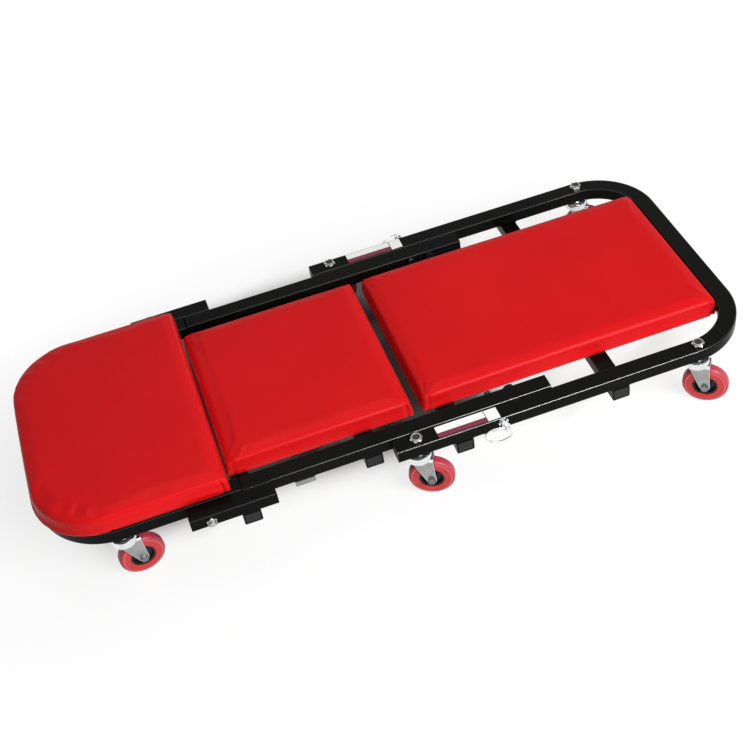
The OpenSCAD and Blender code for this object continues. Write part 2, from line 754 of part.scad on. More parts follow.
module mid_pad() {
    color(pad_red)
        cushion(mid_pad_x, mid_pad_end_x, mid_pad_w, pad_corner_r, pad_corner_r, corner_steps,
            0, deck_h, mid_pad_slope);
}

module mid_pad_screws() {
    color(zinc) for (x = [mid_bar_head_x, mid_bar_foot_x])
        for (s = [-1, 1]) pad_screw(x, s * mid_screw_y, bar_z, deck_h);
}

// Zinc angle brackets with a screw each under the mid rails, and the sleeves inside the rails that
// the lock pins enter
module rail_fittings() {
    color(zinc) for (s = [-1, 1]) {
        translate([bracket_x, s > 0 ? rail_in : -rail_out, deck_h - bracket_t])
            cube([bracket_len, tube_w, bracket_t]);
        translate([bracket_x, s > 0 ? rail_out - bracket_t : -rail_out, deck_h - bracket_drop])
            cube([bracket_len, bracket_t, bracket_drop - bracket_t]);
        rod_z(bracket_x - bracket_screw_gap, s * rail_y, deck_h - bracket_screw_h, deck_h,
            bracket_screw_r);
        difference() {
            rod_y(pin_x, pin_z, s * (rail_in - sleeve_stub), s * (rail_out - tube_wall), housing_r);
            rod_y(pin_x, pin_z, s * (rail_in - sleeve_stub - cut), s * rail_out,
                pin_nose_r + run_clear);
        }
    }
}

// Bolts of the head hinge, through the head tube and the hinge arms
module head_hinge_bolts() {
    color(zinc) for (s = [-1, 1]) {
        rod_y(hinge_x, tube_z, s * (head_in - hinge_head_h), s * (head_in - run_clear), hinge_head_r);
        rod_y(hinge_x, tube_z, s * (head_in - run_clear), s * (arm_out + hinge_nut_h + bolt_end),
            pivot_r);
    }
}

module head_hinge_nuts() {
    color(chrome) for (s = [-1, 1]) difference() {
        hex_y(hinge_x, tube_z, s * arm_out, s * (arm_out + hinge_nut_h), hinge_nut_r);
        rod_y(hinge_x, tube_z, s * rail_out, s * (arm_out + hinge_nut_h + cut), pivot_r + run_clear);
    }
}

// Head section
module head_tube() {
    color(frame_black) difference() {
        u_run(head_open_x, head_tube_x, head_out, head_bend_r);
        u_run(head_open_x, head_tube_x, head_out, head_bend_r, -tube_wall, cut);
        for (place = [head_front, head_back])
            rod_z(place[0], place[1], deck_h - cut, deck_top + cut, stem_r + run_clear);
        for (s = [-1, 1]) {
            rod_y(hinge_x, tube_z, s * (head_in - cut), s * (head_out + cut), pivot_r + run_clear);
            for (x = head_leg_screw_xs)
                rod_z(x, s * head_screw_y, deck_h - cut, deck_top + cut, screw_r + run_clear);
            rod_z(head_tube_x + tube_w / 2, s * head_end_screw_y, deck_h - cut, deck_top + cut,
                screw_r + run_clear);
        }
    }
}

module head_end_plugs() {
    color(plug_black) for (s = [-1, 1])
        plug_x(head_open_x, -1, s * head_leg_y, tube_z, tube_w, tube_h);
}

module head_pad_board() {
    color(plywood) difference() {
        board(head_end_x + head_pad_bow, head_pad_end_x, head_pad_w, head_pad_corner_r, pad_corner_r,
            deck_top);
        for (place = [head_front, head_back])
            rod_z(place[0], place[1], deck_top - cut, deck_top + board_t + cut, nut_room_r);
        for (s = [-1, 1]) {
            for (x = head_leg_screw_xs)
                rod_z(x, s * head_screw_y, deck_top - cut, deck_top + screw_bite, screw_r + run_clear);
            rod_z(head_tube_x + tube_w / 2, s * head_end_screw_y, deck_top - cut,
                deck_top + screw_bite, screw_r + run_clear);
        }
    }
}

module head_pad() {
    color(pad_red) difference() {
        cushion(head_end_x + head_pad_bow, head_pad_end_x, head_pad_w, head_pad_corner_r,
            pad_corner_r, round_steps, head_pad_bow, deck_top);
        for (place = [head_front, head_back])
            rod_z(place[0], place[1], deck_top - cut, deck_top + nut_room_h, nut_room_r);
    }
}

module head_pad_screws() {
    color(zinc) for (s = [-1, 1]) {
        for (x = head_leg_screw_xs) pad_screw(x, s * head_screw_y, deck_h, deck_top);
        pad_screw(head_tube_x + tube_w / 2, s * head_end_screw_y, deck_h, deck_top);
    }
}

// Fixed half of a caster: threaded stem, neck, bearing cap, its ring of balls and the peened end
module caster_stem(place) {
    peen_z = fork_plate_z - stem_peen_h - run_clear;
    rod_z(place[0], place[1], peen_z, deck_top + nut_h - stem_short, stem_r);
    rod_z(place[0], place[1], peen_z, peen_z + stem_peen_h, stem_peen_r);
    rod_z(place[0], place[1], cap_z, cap_z + cap_h, cap_r);
    rod_z(place[0], place[1], cap_z + cap_h, deck_h, neck_r);
    for (i = [0 : ball_count - 1])
        translate([place[0], place[1], race_floor_z + ball_gap + ball_r])
            rotate([0, 0, 360 * i / ball_count]) translate([ball_ring_r, 0, 0])
                sphere(ball_r, $fn = 24);
}

module caster_nut(place) {
    difference() {
        translate([place[0], place[1], deck_top]) cylinder(r = nut_r, h = nut_h, $fn = 6);
        rod_z(place[0], place[1], deck_top - cut, deck_top + nut_h + cut, stem_r + run_clear);
    }
}

module foot_caster_stems() {
    color(zinc) for (place = [foot_front, foot_back, mid_front, mid_back]) caster_stem(place);
}

module foot_caster_nuts() {
    color(chrome) for (place = [foot_front, foot_back, mid_front, mid_back]) caster_nut(place);
}

module head_caster_stems() {
    color(zinc) for (place = [head_front, head_back]) caster_stem(place);
}

module head_caster_nuts() {
    color(chrome) for (place = [head_front, head_back]) caster_nut(place);
}

// Puts a caster's turning pieces at its stem, with the trail along X turned by the swivel angle
module at_caster(place) {
    translate([place[0], place[1], 0]) rotate([0, 0, place[2]]) children();
}

// Leg of a fork: wide at the crown, with a round tip at the axle
module fork_leg() {
    top = fork_plate_z + fork_plate_t;
    left = fork_top_shift - fork_top_w / 2;
    right = fork_top_shift + fork_top_w / 2;
    start = tip_turn([left, top], 1);
    sweep = 360 + tip_turn([right, top], -1) - start;
    tip = [for (i = [0 : tip_arc_steps])
        let (a = start + sweep * i / tip_arc_steps)
        [caster_trail + fork_tip_r * cos(a), wheel_r + fork_tip_r * sin(a)]];
    rotate([90, 0, 0]) linear_extrude(fork_t) polygon(concat([[right, top], [left, top]], tip));
}

// Direction from the axle to where a straight edge from a corner of the crown meets the round tip
function tip_turn(corner, side) =
    let (dx = corner[0] - caster_trail, dz = corner[1] - wheel_r)
    atan2(dz, dx) + side * acos(fork_tip_r / norm([dx, dz]));

module fork(place) {
    color(zinc) at_caster(place) difference() {
        union() {
            for (y = [-fork_gap / 2, fork_out]) translate([0, y, 0]) fork_leg();
            translate([fork_top_shift - fork_top_w / 2, -fork_out, fork_plate_z])
                cube([fork_top_w, fork_out * 2, fork_plate_t]);
            race_cup();
        }
        rod_z(0, 0, fork_plate_z - cut, race_top_z + cut, stem_r + run_clear);
        rod_y(caster_trail, wheel_r, -fork_out - cut, fork_out + cut, axle_r + run_clear);
    }
}

// Cup of the ball race on the fork's crown
module race_cup() {
    base = fork_plate_z;
    rotate_extrude($fn = 64) polygon([
        [0, base], [race_r, base], [race_r, race_floor_z], [race_r - race_wall / 2, race_top_z],
        [race_r - race_wall, race_top_z], [race_r - race_wall, race_floor_z], [0, race_floor_z]
    ]);
}

module axle(place) {
    color(zinc) at_caster(place) {
        rod_y(caster_trail, wheel_r, -fork_out - axle_head_h, fork_out + axle_head_h, axle_r);
        for (y = [-fork_out - axle_head_h, fork_out])
            hex_y(caster_trail, wheel_r, y, y + axle_head_h, axle_head_r);
    }
}

// Puts a wheel's section, turned about the Z axis, on its axle
module on_axle(place) {
    at_caster(place) translate([caster_trail, 0, wheel_r]) rotate([90, 0, 0]) children();
}

// Hub with a dished web between its rim and its boss
module hub(place) {
    rim = hub_w / 2;
    web = rim - hub_dish;
    boss = fork_gap / 2 - hub_end_gap;
    color(hub_black) on_axle(place) rotate_extrude($fn = 64) polygon([
        [axle_r + run_clear, -boss], [hub_boss_r, -boss], [hub_boss_r, -web],
        [hub_r - hub_rim_t, -web], [hub_r - hub_rim_t, -rim], [hub_r, -rim],
        [hub_r, rim], [hub_r - hub_rim_t, rim], [hub_r - hub_rim_t, web],
        [hub_boss_r, web], [hub_boss_r, boss], [axle_r + run_clear, boss]
    ]);
}

// Tyre moulded on the hub
module tyre(place) {
    color(tyre_red) on_axle(place) rotate_extrude($fn = 96) difference() {
        translate([wheel_r / 2, 0]) round_rect(wheel_r, wheel_w, tyre_edge_r);
        translate([0, -wheel_w]) square([hub_r, wheel_w * 2]);
    }
}

foot_tube();
foot_cross_bar_near();
foot_cross_bar_far();
foot_end_plugs();
foot_pad_board();
foot_pad();
foot_pad_screws();
seat_stop_brackets();
fold_hinge_bolts();
lock_pin_housings();
lock_pin_springs();
label_strips();
foot_caster_stems();
foot_caster_nuts();
mid_rails();
hinge_arms();
mid_cross_bar_head();
mid_cross_bar_foot();
mid_end_plugs();
mid_pad_board();
mid_pad();
mid_pad_screws();
rail_fittings();
head_hinge_bolts();
head_hinge_nuts();
head_tube();
head_end_plugs();
head_pad_board();
head_pad();
head_pad_screws();
head_caster_stems();
head_caster_nuts();
lock_pin(-1);  // lock_pin_front
lock_pin(1);  // lock_pin_back
pull_ring(-1);  // pull_ring_front
pull_ring(1);  // pull_ring_back
fork(foot_front);  // fork_foot_front
fork(foot_back);  // fork_foot_back
fork(mid_front);  // fork_mid_front
fork(mid_back);  // fork_mid_back
fork(head_front);  // fork_head_front
fork(head_back);  // fork_head_back
axle(foot_front);  // axle_foot_front
axle(foot_back);  // axle_foot_back
axle(mid_front);  // axle_mid_front
axle(mid_back);  // axle_mid_back
axle(head_front);  // axle_head_front
axle(head_back);  // axle_head_back
hub(foot_front);  // hub_foot_front
hub(foot_back);  // hub_foot_back
hub(mid_front);  // hub_mid_front
hub(mid_back);  // hub_mid_back
hub(head_front);  // hub_head_front
hub(head_back);  // hub_head_back
tyre(foot_front);  // tyre_foot_front
tyre(foot_back);  // tyre_foot_back
tyre(mid_front);  // tyre_mid_front
tyre(mid_back);  // tyre_mid_back
tyre(head_front);  // tyre_head_front
tyre(head_back);  // tyre_head_back
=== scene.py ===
import json
import math

import bpy
from mathutils import Matrix, Vector, noise


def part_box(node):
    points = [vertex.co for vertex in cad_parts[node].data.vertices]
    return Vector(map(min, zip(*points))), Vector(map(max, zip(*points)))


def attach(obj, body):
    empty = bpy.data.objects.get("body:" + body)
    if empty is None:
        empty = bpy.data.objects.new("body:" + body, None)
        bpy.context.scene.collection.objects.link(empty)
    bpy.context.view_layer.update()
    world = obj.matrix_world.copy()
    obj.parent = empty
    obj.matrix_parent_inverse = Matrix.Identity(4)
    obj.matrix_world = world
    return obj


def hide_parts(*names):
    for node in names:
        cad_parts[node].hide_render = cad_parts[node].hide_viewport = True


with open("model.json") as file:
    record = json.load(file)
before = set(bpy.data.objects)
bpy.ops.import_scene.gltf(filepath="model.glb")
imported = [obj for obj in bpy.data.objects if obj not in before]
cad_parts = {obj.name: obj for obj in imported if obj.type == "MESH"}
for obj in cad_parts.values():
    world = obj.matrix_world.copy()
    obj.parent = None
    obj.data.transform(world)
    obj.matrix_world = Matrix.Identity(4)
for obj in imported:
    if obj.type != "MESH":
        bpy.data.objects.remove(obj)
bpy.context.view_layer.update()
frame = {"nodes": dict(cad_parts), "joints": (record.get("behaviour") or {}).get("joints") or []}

# Studio: the camera stands where the photograph was taken, high over the head end on the near side.
# A narrow strip lamp stands in front on the right, a weak wide one hangs over the bed, and the white
# room around them gives a little light from every side.
camera_place = Vector((-0.2574, -1.3010, 1.3568))
camera_ahead = Vector((0.13880, 0.69658, -0.70393)).normalized()
camera_up = Vector((0.30905, 0.64484, 0.69905))
camera_right = camera_ahead.cross(camera_up).normalized()
camera_turn = Matrix((camera_right, camera_right.cross(camera_ahead), -camera_ahead)).transposed()
bpy.ops.object.camera_add()
camera = bpy.context.object
camera.matrix_world = Matrix.Translation(camera_place) @ camera_turn.to_4x4()
camera.data.sensor_fit = "HORIZONTAL"
camera.data.sensor_width = 36
camera.data.lens = 61.394
bpy.context.scene.camera = camera
bpy.context.scene.view_settings.view_transform = "Standard"
bed_middle = Vector((0, 0, 0.1))
room_strength = 0.12


def soft_lamp(name, place, size, power):
    """Rectangular lamp that faces the middle of the bed."""
    bpy.ops.object.light_add(type="AREA", location=place)
    lamp = bpy.context.object
    lamp.name = name
    lamp.data.shape = "RECTANGLE"
    lamp.data.size = size[0]
    lamp.data.size_y = size[1]
    lamp.data.energy = power
    lamp.rotation_euler = (bed_middle - Vector(place)).to_track_quat("-Z", "Y").to_euler()


soft_lamp("front_lamp", place=(1.05, -1.85, 1.65), size=(2.0, 0.14), power=97)
soft_lamp("top_lamp", place=(0.0, 0.6, 2.4), size=(1.6, 1.2), power=10)


def math_node(tree, operation, *values, clamp=False):
    """One sum on sockets and plain numbers."""
    step = tree.nodes.new("ShaderNodeMath")
    step.operation = operation
    step.use_clamp = clamp
    for place, value in enumerate(values):
        if isinstance(value, bpy.types.NodeSocket):
            tree.links.new(value, step.inputs[place])
        else:
            step.inputs[place].default_value = value
    return step.outputs[0]


def seen_directly(tree):
    """1 for what the camera sees, also in a mirror or through glass, and 0 for the light on things."""
    path = tree.nodes.new("ShaderNodeLightPath")
    seen = math_node(tree, "MAXIMUM", path.outputs["Is Camera Ray"], path.outputs["Is Glossy Ray"])
    return math_node(tree, "MAXIMUM", seen, path.outputs["Is Transmission Ray"])


room = bpy.data.worlds.new("white_room")
room.use_nodes = True
room_tree = room.node_tree
room_tree.nodes.clear()
room_light = room_tree.nodes.new("ShaderNodeBackground")
room_light.inputs["Strength"].default_value = room_strength
room_wall = room_tree.nodes.new("ShaderNodeBackground")
room_wall.inputs["Color"].default_value = (1, 1, 1, 1)
room_mix = room_tree.nodes.new("ShaderNodeMixShader")
room_out = room_tree.nodes.new("ShaderNodeOutputWorld")
room_tree.links.new(seen_directly(room_tree), room_mix.inputs[0])
room_tree.links.new(room_light.outputs[0], room_mix.inputs[1])
room_tree.links.new(room_wall.outputs[0], room_mix.inputs[2])
room_tree.links.new(room_mix.outputs[0], room_out.inputs["Surface"])
bpy.context.scene.world = room

# Floor of the studio: a large pale sheet that keeps the bed's soft shadow and fades into the white
# room farther out. Under the head and middle pads a dark grey patch is painted into its colour and its
# glow is taken away there: painted shade that keeps the floor seen between the pads dark.
floor_size = 24
floor_grey = 0.92
glow_span = (0.62, 0.34)
glow_least = 0.8
glow_fade = (0.8, 1.5)
# Painted shade: the floor colour inside the patch under the head and middle pads.
shade_grey = 0.36
shade_middle = Vector((-0.12, 0.09, 0))
shade_spans = (("X", 0.20, 0.38), ("Y", 0.15, 0.25))


def mixed_tone(tree, share, *tones):
    """Colour between two tones, each a socket or plain red, green and blue."""
    mix = tree.nodes.new("ShaderNodeMix")
    mix.data_type = "RGBA"
    tree.links.new(share, mix.inputs["Factor"])
    for socket, tone in zip((mix.inputs["A"], mix.inputs["B"]), tones):
        if isinstance(tone, bpy.types.NodeSocket):
            tree.links.new(tone, socket)
        else:
            socket.default_value = (*tone, 1)
    return mix.outputs["Result"]


bpy.ops.mesh.primitive_plane_add(size=floor_size, location=(0, 0, 0))
floor = bpy.context.object
floor.name = "studio_floor"
floor_paint = bpy.data.materials.new("studio_floor")
floor_paint.use_nodes = True
floor_tree = floor_paint.node_tree
floor_tree.nodes.clear()
floor_where = floor_tree.nodes.new("ShaderNodeTexCoord")
floor_shape = floor_tree.nodes.new("ShaderNodeMapping")
floor_shape.inputs["Scale"].default_value = (1 / glow_span[0], 1 / glow_span[1], 1)
floor_reach = floor_tree.nodes.new("ShaderNodeVectorMath")
floor_reach.operation = "LENGTH"
floor_fade = floor_tree.nodes.new("ShaderNodeMapRange")
floor_fade.interpolation_type = "SMOOTHSTEP"
floor_fade.inputs["From Min"].default_value = glow_fade[0]
floor_fade.inputs["From Max"].default_value = glow_fade[1]
floor_fade.inputs["To Min"].default_value = glow_least
floor_tree.links.new(floor_where.outputs["Object"], floor_shape.inputs["Vector"])
floor_tree.links.new(floor_shape.outputs["Vector"], floor_reach.inputs[0])
floor_tree.links.new(floor_reach.outputs["Value"], floor_fade.inputs["Value"])
shade_place = floor_tree.nodes.new("ShaderNodeMapping")
shade_place.inputs["Location"].default_value = -shade_middle
shade_parts = floor_tree.nodes.new("ShaderNodeSeparateXYZ")
floor_tree.links.new(floor_where.outputs["Object"], shade_place.inputs["Vector"])
floor_tree.links.new(shade_place.outputs["Vector"], shade_parts.inputs[0])
shade_sides = []
for axis, inner, outer in shade_spans:
    apart = math_node(floor_tree, "ABSOLUTE", shade_parts.outputs[axis])
    side = floor_tree.nodes.new("ShaderNodeMapRange")
    side.interpolation_type = "SMOOTHSTEP"
    side.inputs["From Min"].default_value = outer
    side.inputs["From Max"].default_value = inner
    floor_tree.links.new(apart, side.inputs["Value"])
    shade_sides.append(side.outputs["Result"])
floor_shade = math_node(floor_tree, "MULTIPLY", *shade_sides)
floor_matt = floor_tree.nodes.new("ShaderNodeBsdfDiffuse")
# Painted shade: the floor's colour turns from its pale grey to the dark patch grey inside the patch.
floor_tone = mixed_tone(floor_tree, floor_shade, [floor_grey] * 3, [shade_grey] * 3)
floor_tree.links.new(floor_tone, floor_matt.inputs["Color"])
# The glow is taken away inside the painted shade patch.
floor_light = math_node(floor_tree, "SUBTRACT", floor_fade.outputs["Result"], floor_shade, clamp=True)
floor_share = math_node(floor_tree, "MULTIPLY", seen_directly(floor_tree), floor_light)
floor_glow = floor_tree.nodes.new("ShaderNodeEmission")
floor_mix = floor_tree.nodes.new("ShaderNodeMixShader")
floor_out = floor_tree.nodes.new("ShaderNodeOutputMaterial")
floor_tree.links.new(floor_share, floor_mix.inputs[0])
floor_tree.links.new(floor_matt.outputs[0], floor_mix.inputs[1])
floor_tree.links.new(floor_glow.outputs[0], floor_mix.inputs[2])
floor_tree.links.new(floor_mix.outputs[0], floor_out.inputs["Surface"])
floor.data.materials.append(floor_paint)

# Tube frames: welded steel tube, dipped in gloss black powder coat after welding.
# The coat has a fine orange peel, and it is a little thinner and browner where hands and boots rub it.
# The rounded long edges of the tubes are polished by that rubbing and shine more than the flat sides.


def noise_group(name, grain_detail, cloud_detail):
    """Group with a fine height and a slow mask, both from noise on the piece's own coordinates."""
    group = bpy.data.node_groups.new(name, "ShaderNodeTree")
    group.interface.new_socket("Vector", in_out="INPUT", socket_type="NodeSocketVector")
    group.interface.new_socket("Grain Scale", in_out="INPUT", socket_type="NodeSocketFloat")
    group.interface.new_socket("Cloud Scale", in_out="INPUT", socket_type="NodeSocketFloat")
    group.interface.new_socket("Height", in_out="OUTPUT", socket_type="NodeSocketFloat")
    group.interface.new_socket("Mask", in_out="OUTPUT", socket_type="NodeSocketFloat")
    entry = group.nodes.new("NodeGroupInput")
    leave = group.nodes.new("NodeGroupOutput")
    grain = group.nodes.new("ShaderNodeTexNoise")
    grain.inputs["Detail"].default_value = grain_detail
    cloud = group.nodes.new("ShaderNodeTexNoise")
    cloud.inputs["Detail"].default_value = cloud_detail
    cloud_edges = group.nodes.new("ShaderNodeMapRange")
    cloud_edges.inputs["From Min"].default_value = 0.35
    cloud_edges.inputs["From Max"].default_value = 0.7
    group.links.new(entry.outputs["Vector"], grain.inputs["Vector"])
    group.links.new(entry.outputs["Grain Scale"], grain.inputs["Scale"])
    group.links.new(entry.outputs["Vector"], cloud.inputs["Vector"])
    group.links.new(entry.outputs["Cloud Scale"], cloud.inputs["Scale"])
    group.links.new(cloud.outputs["Fac"], cloud_edges.inputs["Value"])
    group.links.new(grain.outputs["Fac"], leave.inputs["Height"])
    group.links.new(cloud_edges.outputs["Result"], leave.inputs["Mask"])
    return group


surface_grain = noise_group("surface_grain", grain_detail=3, cloud_detail=4)


def finish_material(name, light, dark, rough, grain_scale, cloud_scale, grain_depth, metallic=0,
                    specular=0.5):
    """Material whose colour and roughness drift between two tones, with a fine grain in its normal."""
    paint = bpy.data.materials.new(name)
    paint.use_nodes = True
    tree = paint.node_tree
    shader = tree.nodes["Principled BSDF"]
    where = tree.nodes.new("ShaderNodeTexCoord")
    grain = tree.nodes.new("ShaderNodeGroup")
    grain.node_tree = surface_grain
    grain.inputs["Grain Scale"].default_value = grain_scale
    grain.inputs["Cloud Scale"].default_value = cloud_scale
    tone = mixed_tone(tree, grain.outputs["Mask"], light, dark)
    gloss = tree.nodes.new("ShaderNodeMapRange")
    gloss.inputs["To Min"].default_value = rough[0]
    gloss.inputs["To Max"].default_value = rough[1]
    bump = tree.nodes.new("ShaderNodeBump")
    bump.inputs["Distance"].default_value = grain_depth
    bump.inputs["Strength"].default_value = 1
    tree.links.new(where.outputs["Object"], grain.inputs["Vector"])
    tree.links.new(grain.outputs["Mask"], gloss.inputs["Value"])
    tree.links.new(grain.outputs["Height"], bump.inputs["Height"])
    tree.links.new(tone, shader.inputs["Base Color"])
    tree.links.new(gloss.outputs["Result"], shader.inputs["Roughness"])
    tree.links.new(bump.outputs["Normal"], shader.inputs["Normal"])
    shader.inputs["Metallic"].default_value = metallic
    shader.inputs["Specular IOR Level"].default_value = specular
    return paint


def first_node(paint, kind):
    """The node of a kind that finish_material put in."""
    return next(node for node in paint.node_tree.nodes if node.bl_idname == kind)


def dress(paint, *names):
    """Gives CAD nodes their finish, by way of their own material slots."""
    for name in names:
        for slot in frame["nodes"][name].material_slots:
            slot.material = paint


coat_specular = 0.045
polish_specular = 0.38
polish_by_facing = ((0.0, 0.0), (0.35, 0.0), (0.6, 1.0), (0.8, 1.0), (0.95, 0.0), (1.0, 0.0))
powder_coat = finish_material(
    "powder_coat", light=(0.0022, 0.0021, 0.0020), dark=(0.0038, 0.0035, 0.0031),
    rough=(0.20, 0.28), grain_scale=620, cloud_scale=9, grain_depth=0.00003, specular=coat_specular)
coat_tree = powder_coat.node_tree
coat_shader = coat_tree.nodes["Principled BSDF"]
coat_facing = coat_tree.nodes.new("ShaderNodeSeparateXYZ")
coat_up = math_node(coat_tree, "ABSOLUTE", coat_facing.outputs["Z"])
coat_edge = coat_tree.nodes.new("ShaderNodeFloatCurve")
for place, height in polish_by_facing:
    if 0 < place < 1:
        coat_edge.mapping.curves[0].points.new(place, height)
    else:
        coat_edge.mapping.curves[0].points[0 if place == 0 else -1].location = (place, height)
coat_edge.mapping.update()
coat_polish = coat_tree.nodes.new("ShaderNodeMapRange")
coat_polish.inputs["To Min"].default_value = coat_specular
coat_polish.inputs["To Max"].default_value = polish_specular
coat_tree.links.new(
    first_node(powder_coat, "ShaderNodeTexCoord").outputs["Normal"], coat_facing.inputs[0])
coat_tree.links.new(coat_up, coat_edge.inputs["Value"])
coat_tree.links.new(coat_edge.outputs["Value"], coat_polish.inputs["Value"])
coat_tree.links.new(coat_polish.outputs["Result"], coat_shader.inputs["Specular IOR Level"])
dress(
    powder_coat, "foot_tube", "foot_cross_bar_near", "foot_cross_bar_far", "mid_rails", "hinge_arms",
    "mid_cross_bar_head", "mid_cross_bar_foot", "head_tube", "seat_stop_brackets")

# Welds: a bead of overlapping drops on both sides of each bar and arm, under the same black coat.
# Each bead is one run of the torch, flat on the tube and rounded outside.
bead_drop_r = 0.0016
bead_drop_shape = (0.95, 1.2, 0.8)
bead_pitch = 0.0021
bead_sink = 0.0008
bead_end_gap = 0.002
arm_bead_sink = 0.0006
arm_bead_end_gap = 0.003


def weld_bead(length, place, along):
    """Run of drops with its middle at a place, along X or Y."""
    count = int(length / bead_pitch)
    bpy.ops.object.select_all(action="DESELECT")
    bpy.ops.mesh.primitive_ico_sphere_add(subdivisions=2, radius=bead_drop_r, location=(0, 0, 0))
    bead = bpy.context.object
    bpy.ops.object.mode_set(mode="EDIT")
    bpy.ops.mesh.select_all(action="SELECT")
    bpy.ops.transform.resize(value=bead_drop_shape)
    bpy.ops.object.mode_set(mode="OBJECT")
    repeat = bead.modifiers.new("drops", "ARRAY")
    repeat.count = count
    repeat.use_relative_offset = False
    repeat.use_constant_offset = True
    repeat.constant_offset_displace = (bead_pitch, 0, 0)
    bpy.ops.object.modifier_apply(modifier="drops")
    turn = Matrix.Rotation(math.radians(90), 4, "Z") if along == "Y" else Matrix.Identity(4)
    middle = Matrix.Translation((-(count - 1) * bead_pitch / 2, 0, 0))
    bead.data.transform(Matrix.Translation(place) @ turn @ middle)
    return bead


def join_pieces(name, pieces):
    """Makes one piece of a list, smooth but for its real edges."""
    bpy.ops.object.select_all(action="DESELECT")
    for piece in pieces:
        piece.select_set(True)
    bpy.context.view_layer.objects.active = pieces[0]
    if len(pieces) > 1:
        bpy.ops.object.join()
    pieces[0].name = name
    pieces[0].data.name = name
    bpy.ops.object.shade_smooth_by_angle(angle=math.radians(40))
    return pieces[0]


tube_width = 0.025
tube_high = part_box("foot_tube")[1]
rails_low, rails_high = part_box("mid_rails")
arms_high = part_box("hinge_arms")[1]
foot_beads = []
for bar in ("foot_cross_bar_near", "foot_cross_bar_far"):
    bar_low, bar_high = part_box(bar)
    for edge in (bar_low.x - bead_drop_r / 2, bar_high.x + bead_drop_r / 2):
        for side in (-1, 1):
            place = (edge, side * (tube_high.y - tube_width / 2), bar_high.z - bead_sink)
            foot_beads.append(weld_bead(tube_width - 2 * bead_end_gap, place, "Y"))
foot_welds = join_pieces("foot_welds", foot_beads)
foot_welds.data.materials.clear()
foot_welds.data.materials.append(powder_coat)
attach(foot_welds, "foot_frame")
mid_beads = []
for bar, width in (("mid_cross_bar_head", arms_high.y), ("mid_cross_bar_foot", rails_high.y)):
    bar_low, bar_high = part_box(bar)
    run = width - (rails_high.y - tube_width) - 2 * bead_end_gap
    for edge in (bar_low.x - bead_drop_r / 2, bar_high.x + bead_drop_r / 2):
        for side in (-1, 1):
            place = (edge, side * (width - bead_end_gap - run / 2), bar_high.z - bead_sink)
            mid_beads.append(weld_bead(run, place, "Y"))
arm_run = arms_high.x - rails_low.x - 2 * arm_bead_end_gap
arm_middle = arms_high.x - arm_bead_end_gap - arm_run / 2
for side in (-1, 1):
    place = (arm_middle, side * rails_high.y, arms_high.z - arm_bead_sink)
    mid_beads.append(weld_bead(arm_run, place, "X"))
mid_welds = join_pieces("mid_welds", mid_beads)
mid_welds.data.materials.clear()
mid_welds.data.materials.append(powder_coat)
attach(mid_welds, "mid_frame")

# Plugs: pressed into each open tube end, moulded in black polythene.
# They are matt, with the grain of the mould.
plug_plastic = finish_material(
    "plug_plastic", light=(0.008, 0.008, 0.008), dark=(0.013, 0.013, 0.013),
    rough=(0.5, 0.62), grain_scale=1400, cloud_scale=30, grain_depth=0.00012, specular=0.25)
dress(plug_plastic, "foot_end_plugs", "mid_end_plugs", "head_end_plugs")

# Boards: birch plywood inside the pads, seen only from below. The face veneer runs along the bed
# and the cut edges show the plies.
veneer_stretch = (0.08, 1, 3)
ply = finish_material(
    "birch_ply", light=(0.50, 0.36, 0.20), dark=(0.38, 0.25, 0.13),
    rough=(0.55, 0.7), grain_scale=260, cloud_scale=14, grain_depth=0.00015, specular=0.3)
ply_tree = ply.node_tree
ply_stretch = ply_tree.nodes.new("ShaderNodeMapping")
ply_stretch.inputs["Scale"].default_value = veneer_stretch
ply_tree.links.new(
    first_node(ply, "ShaderNodeTexCoord").outputs["Object"], ply_stretch.inputs["Vector"])
ply_tree.links.new(
    ply_stretch.outputs["Vector"], first_node(ply, "ShaderNodeGroup").inputs["Vector"])
dress(ply, "foot_pad_board", "mid_pad_board", "head_pad_board")

# Pads: red vinyl drawn tight over foam and stapled under the board. It swells a little in the middle,
# its sides stand straight down to a crisp lower edge, and the square corners have folded pleats with a
# few creases. The two square covers are drawn a little to the far side.
vinyl = finish_material(
    "red_vinyl", light=(0.60, 0.0072, 0.009), dark=(0.53, 0.0058, 0.0078),
    rough=(0.34, 0.42), grain_scale=900, cloud_scale=3.5, grain_depth=0.00008, specular=0.08)
same_place = 1e-5
corner_r = 0.004
foot_end_r = 0.008
head_round_r = 0.092
head_bow = 0.004
mid_slope = 0.013
slope_reach = 0.12
far_reach = 0.004
blank_edge_r = 0.0075
pad_crown = 0.0025
crown_share = 0.35
pad_edge_r = 0.008
pad_rim = 0.0085
pad_recess = 0.0045
cover_voxel = 0.004
held_height = 0.006
swell_frames = 20
pad_swell = 0.002
lower_edge_r = 0.009
edge_fold = 0.85
fold_start = 0.8
cover_waves = ((9, 0.0005), (24, 0.0002))
top_give = 0.001
side_give = 0.0015
head_give = 0.001
foot_give = 0.0006


def pick_points(mesh_object, test):
    """Selects the points that pass a test, and the edges and faces between them."""
    bpy.ops.object.mode_set(mode="EDIT")
    bpy.ops.mesh.select_mode(type="VERT")
    bpy.ops.mesh.select_all(action="DESELECT")
    bpy.ops.object.mode_set(mode="OBJECT")
    for point in mesh_object.data.vertices:
        point.select = test(point.co)
    bpy.ops.object.mode_set(mode="EDIT")
    bpy.ops.mesh.select_mode(type="VERT")


def pick_edges(mesh_object, test):
    """Selects the edges whose two ends pass a test."""
    bpy.ops.object.mode_set(mode="EDIT")
    bpy.ops.mesh.select_mode(type="EDGE")
    bpy.ops.mesh.select_all(action="DESELECT")
    bpy.ops.object.mode_set(mode="OBJECT")
    points = mesh_object.data.vertices
    for edge in mesh_object.data.edges:
        edge.select = test(points[edge.vertices[0]].co, points[edge.vertices[1]].co)
    bpy.ops.object.mode_set(mode="EDIT")
    bpy.ops.mesh.select_mode(type="EDGE")


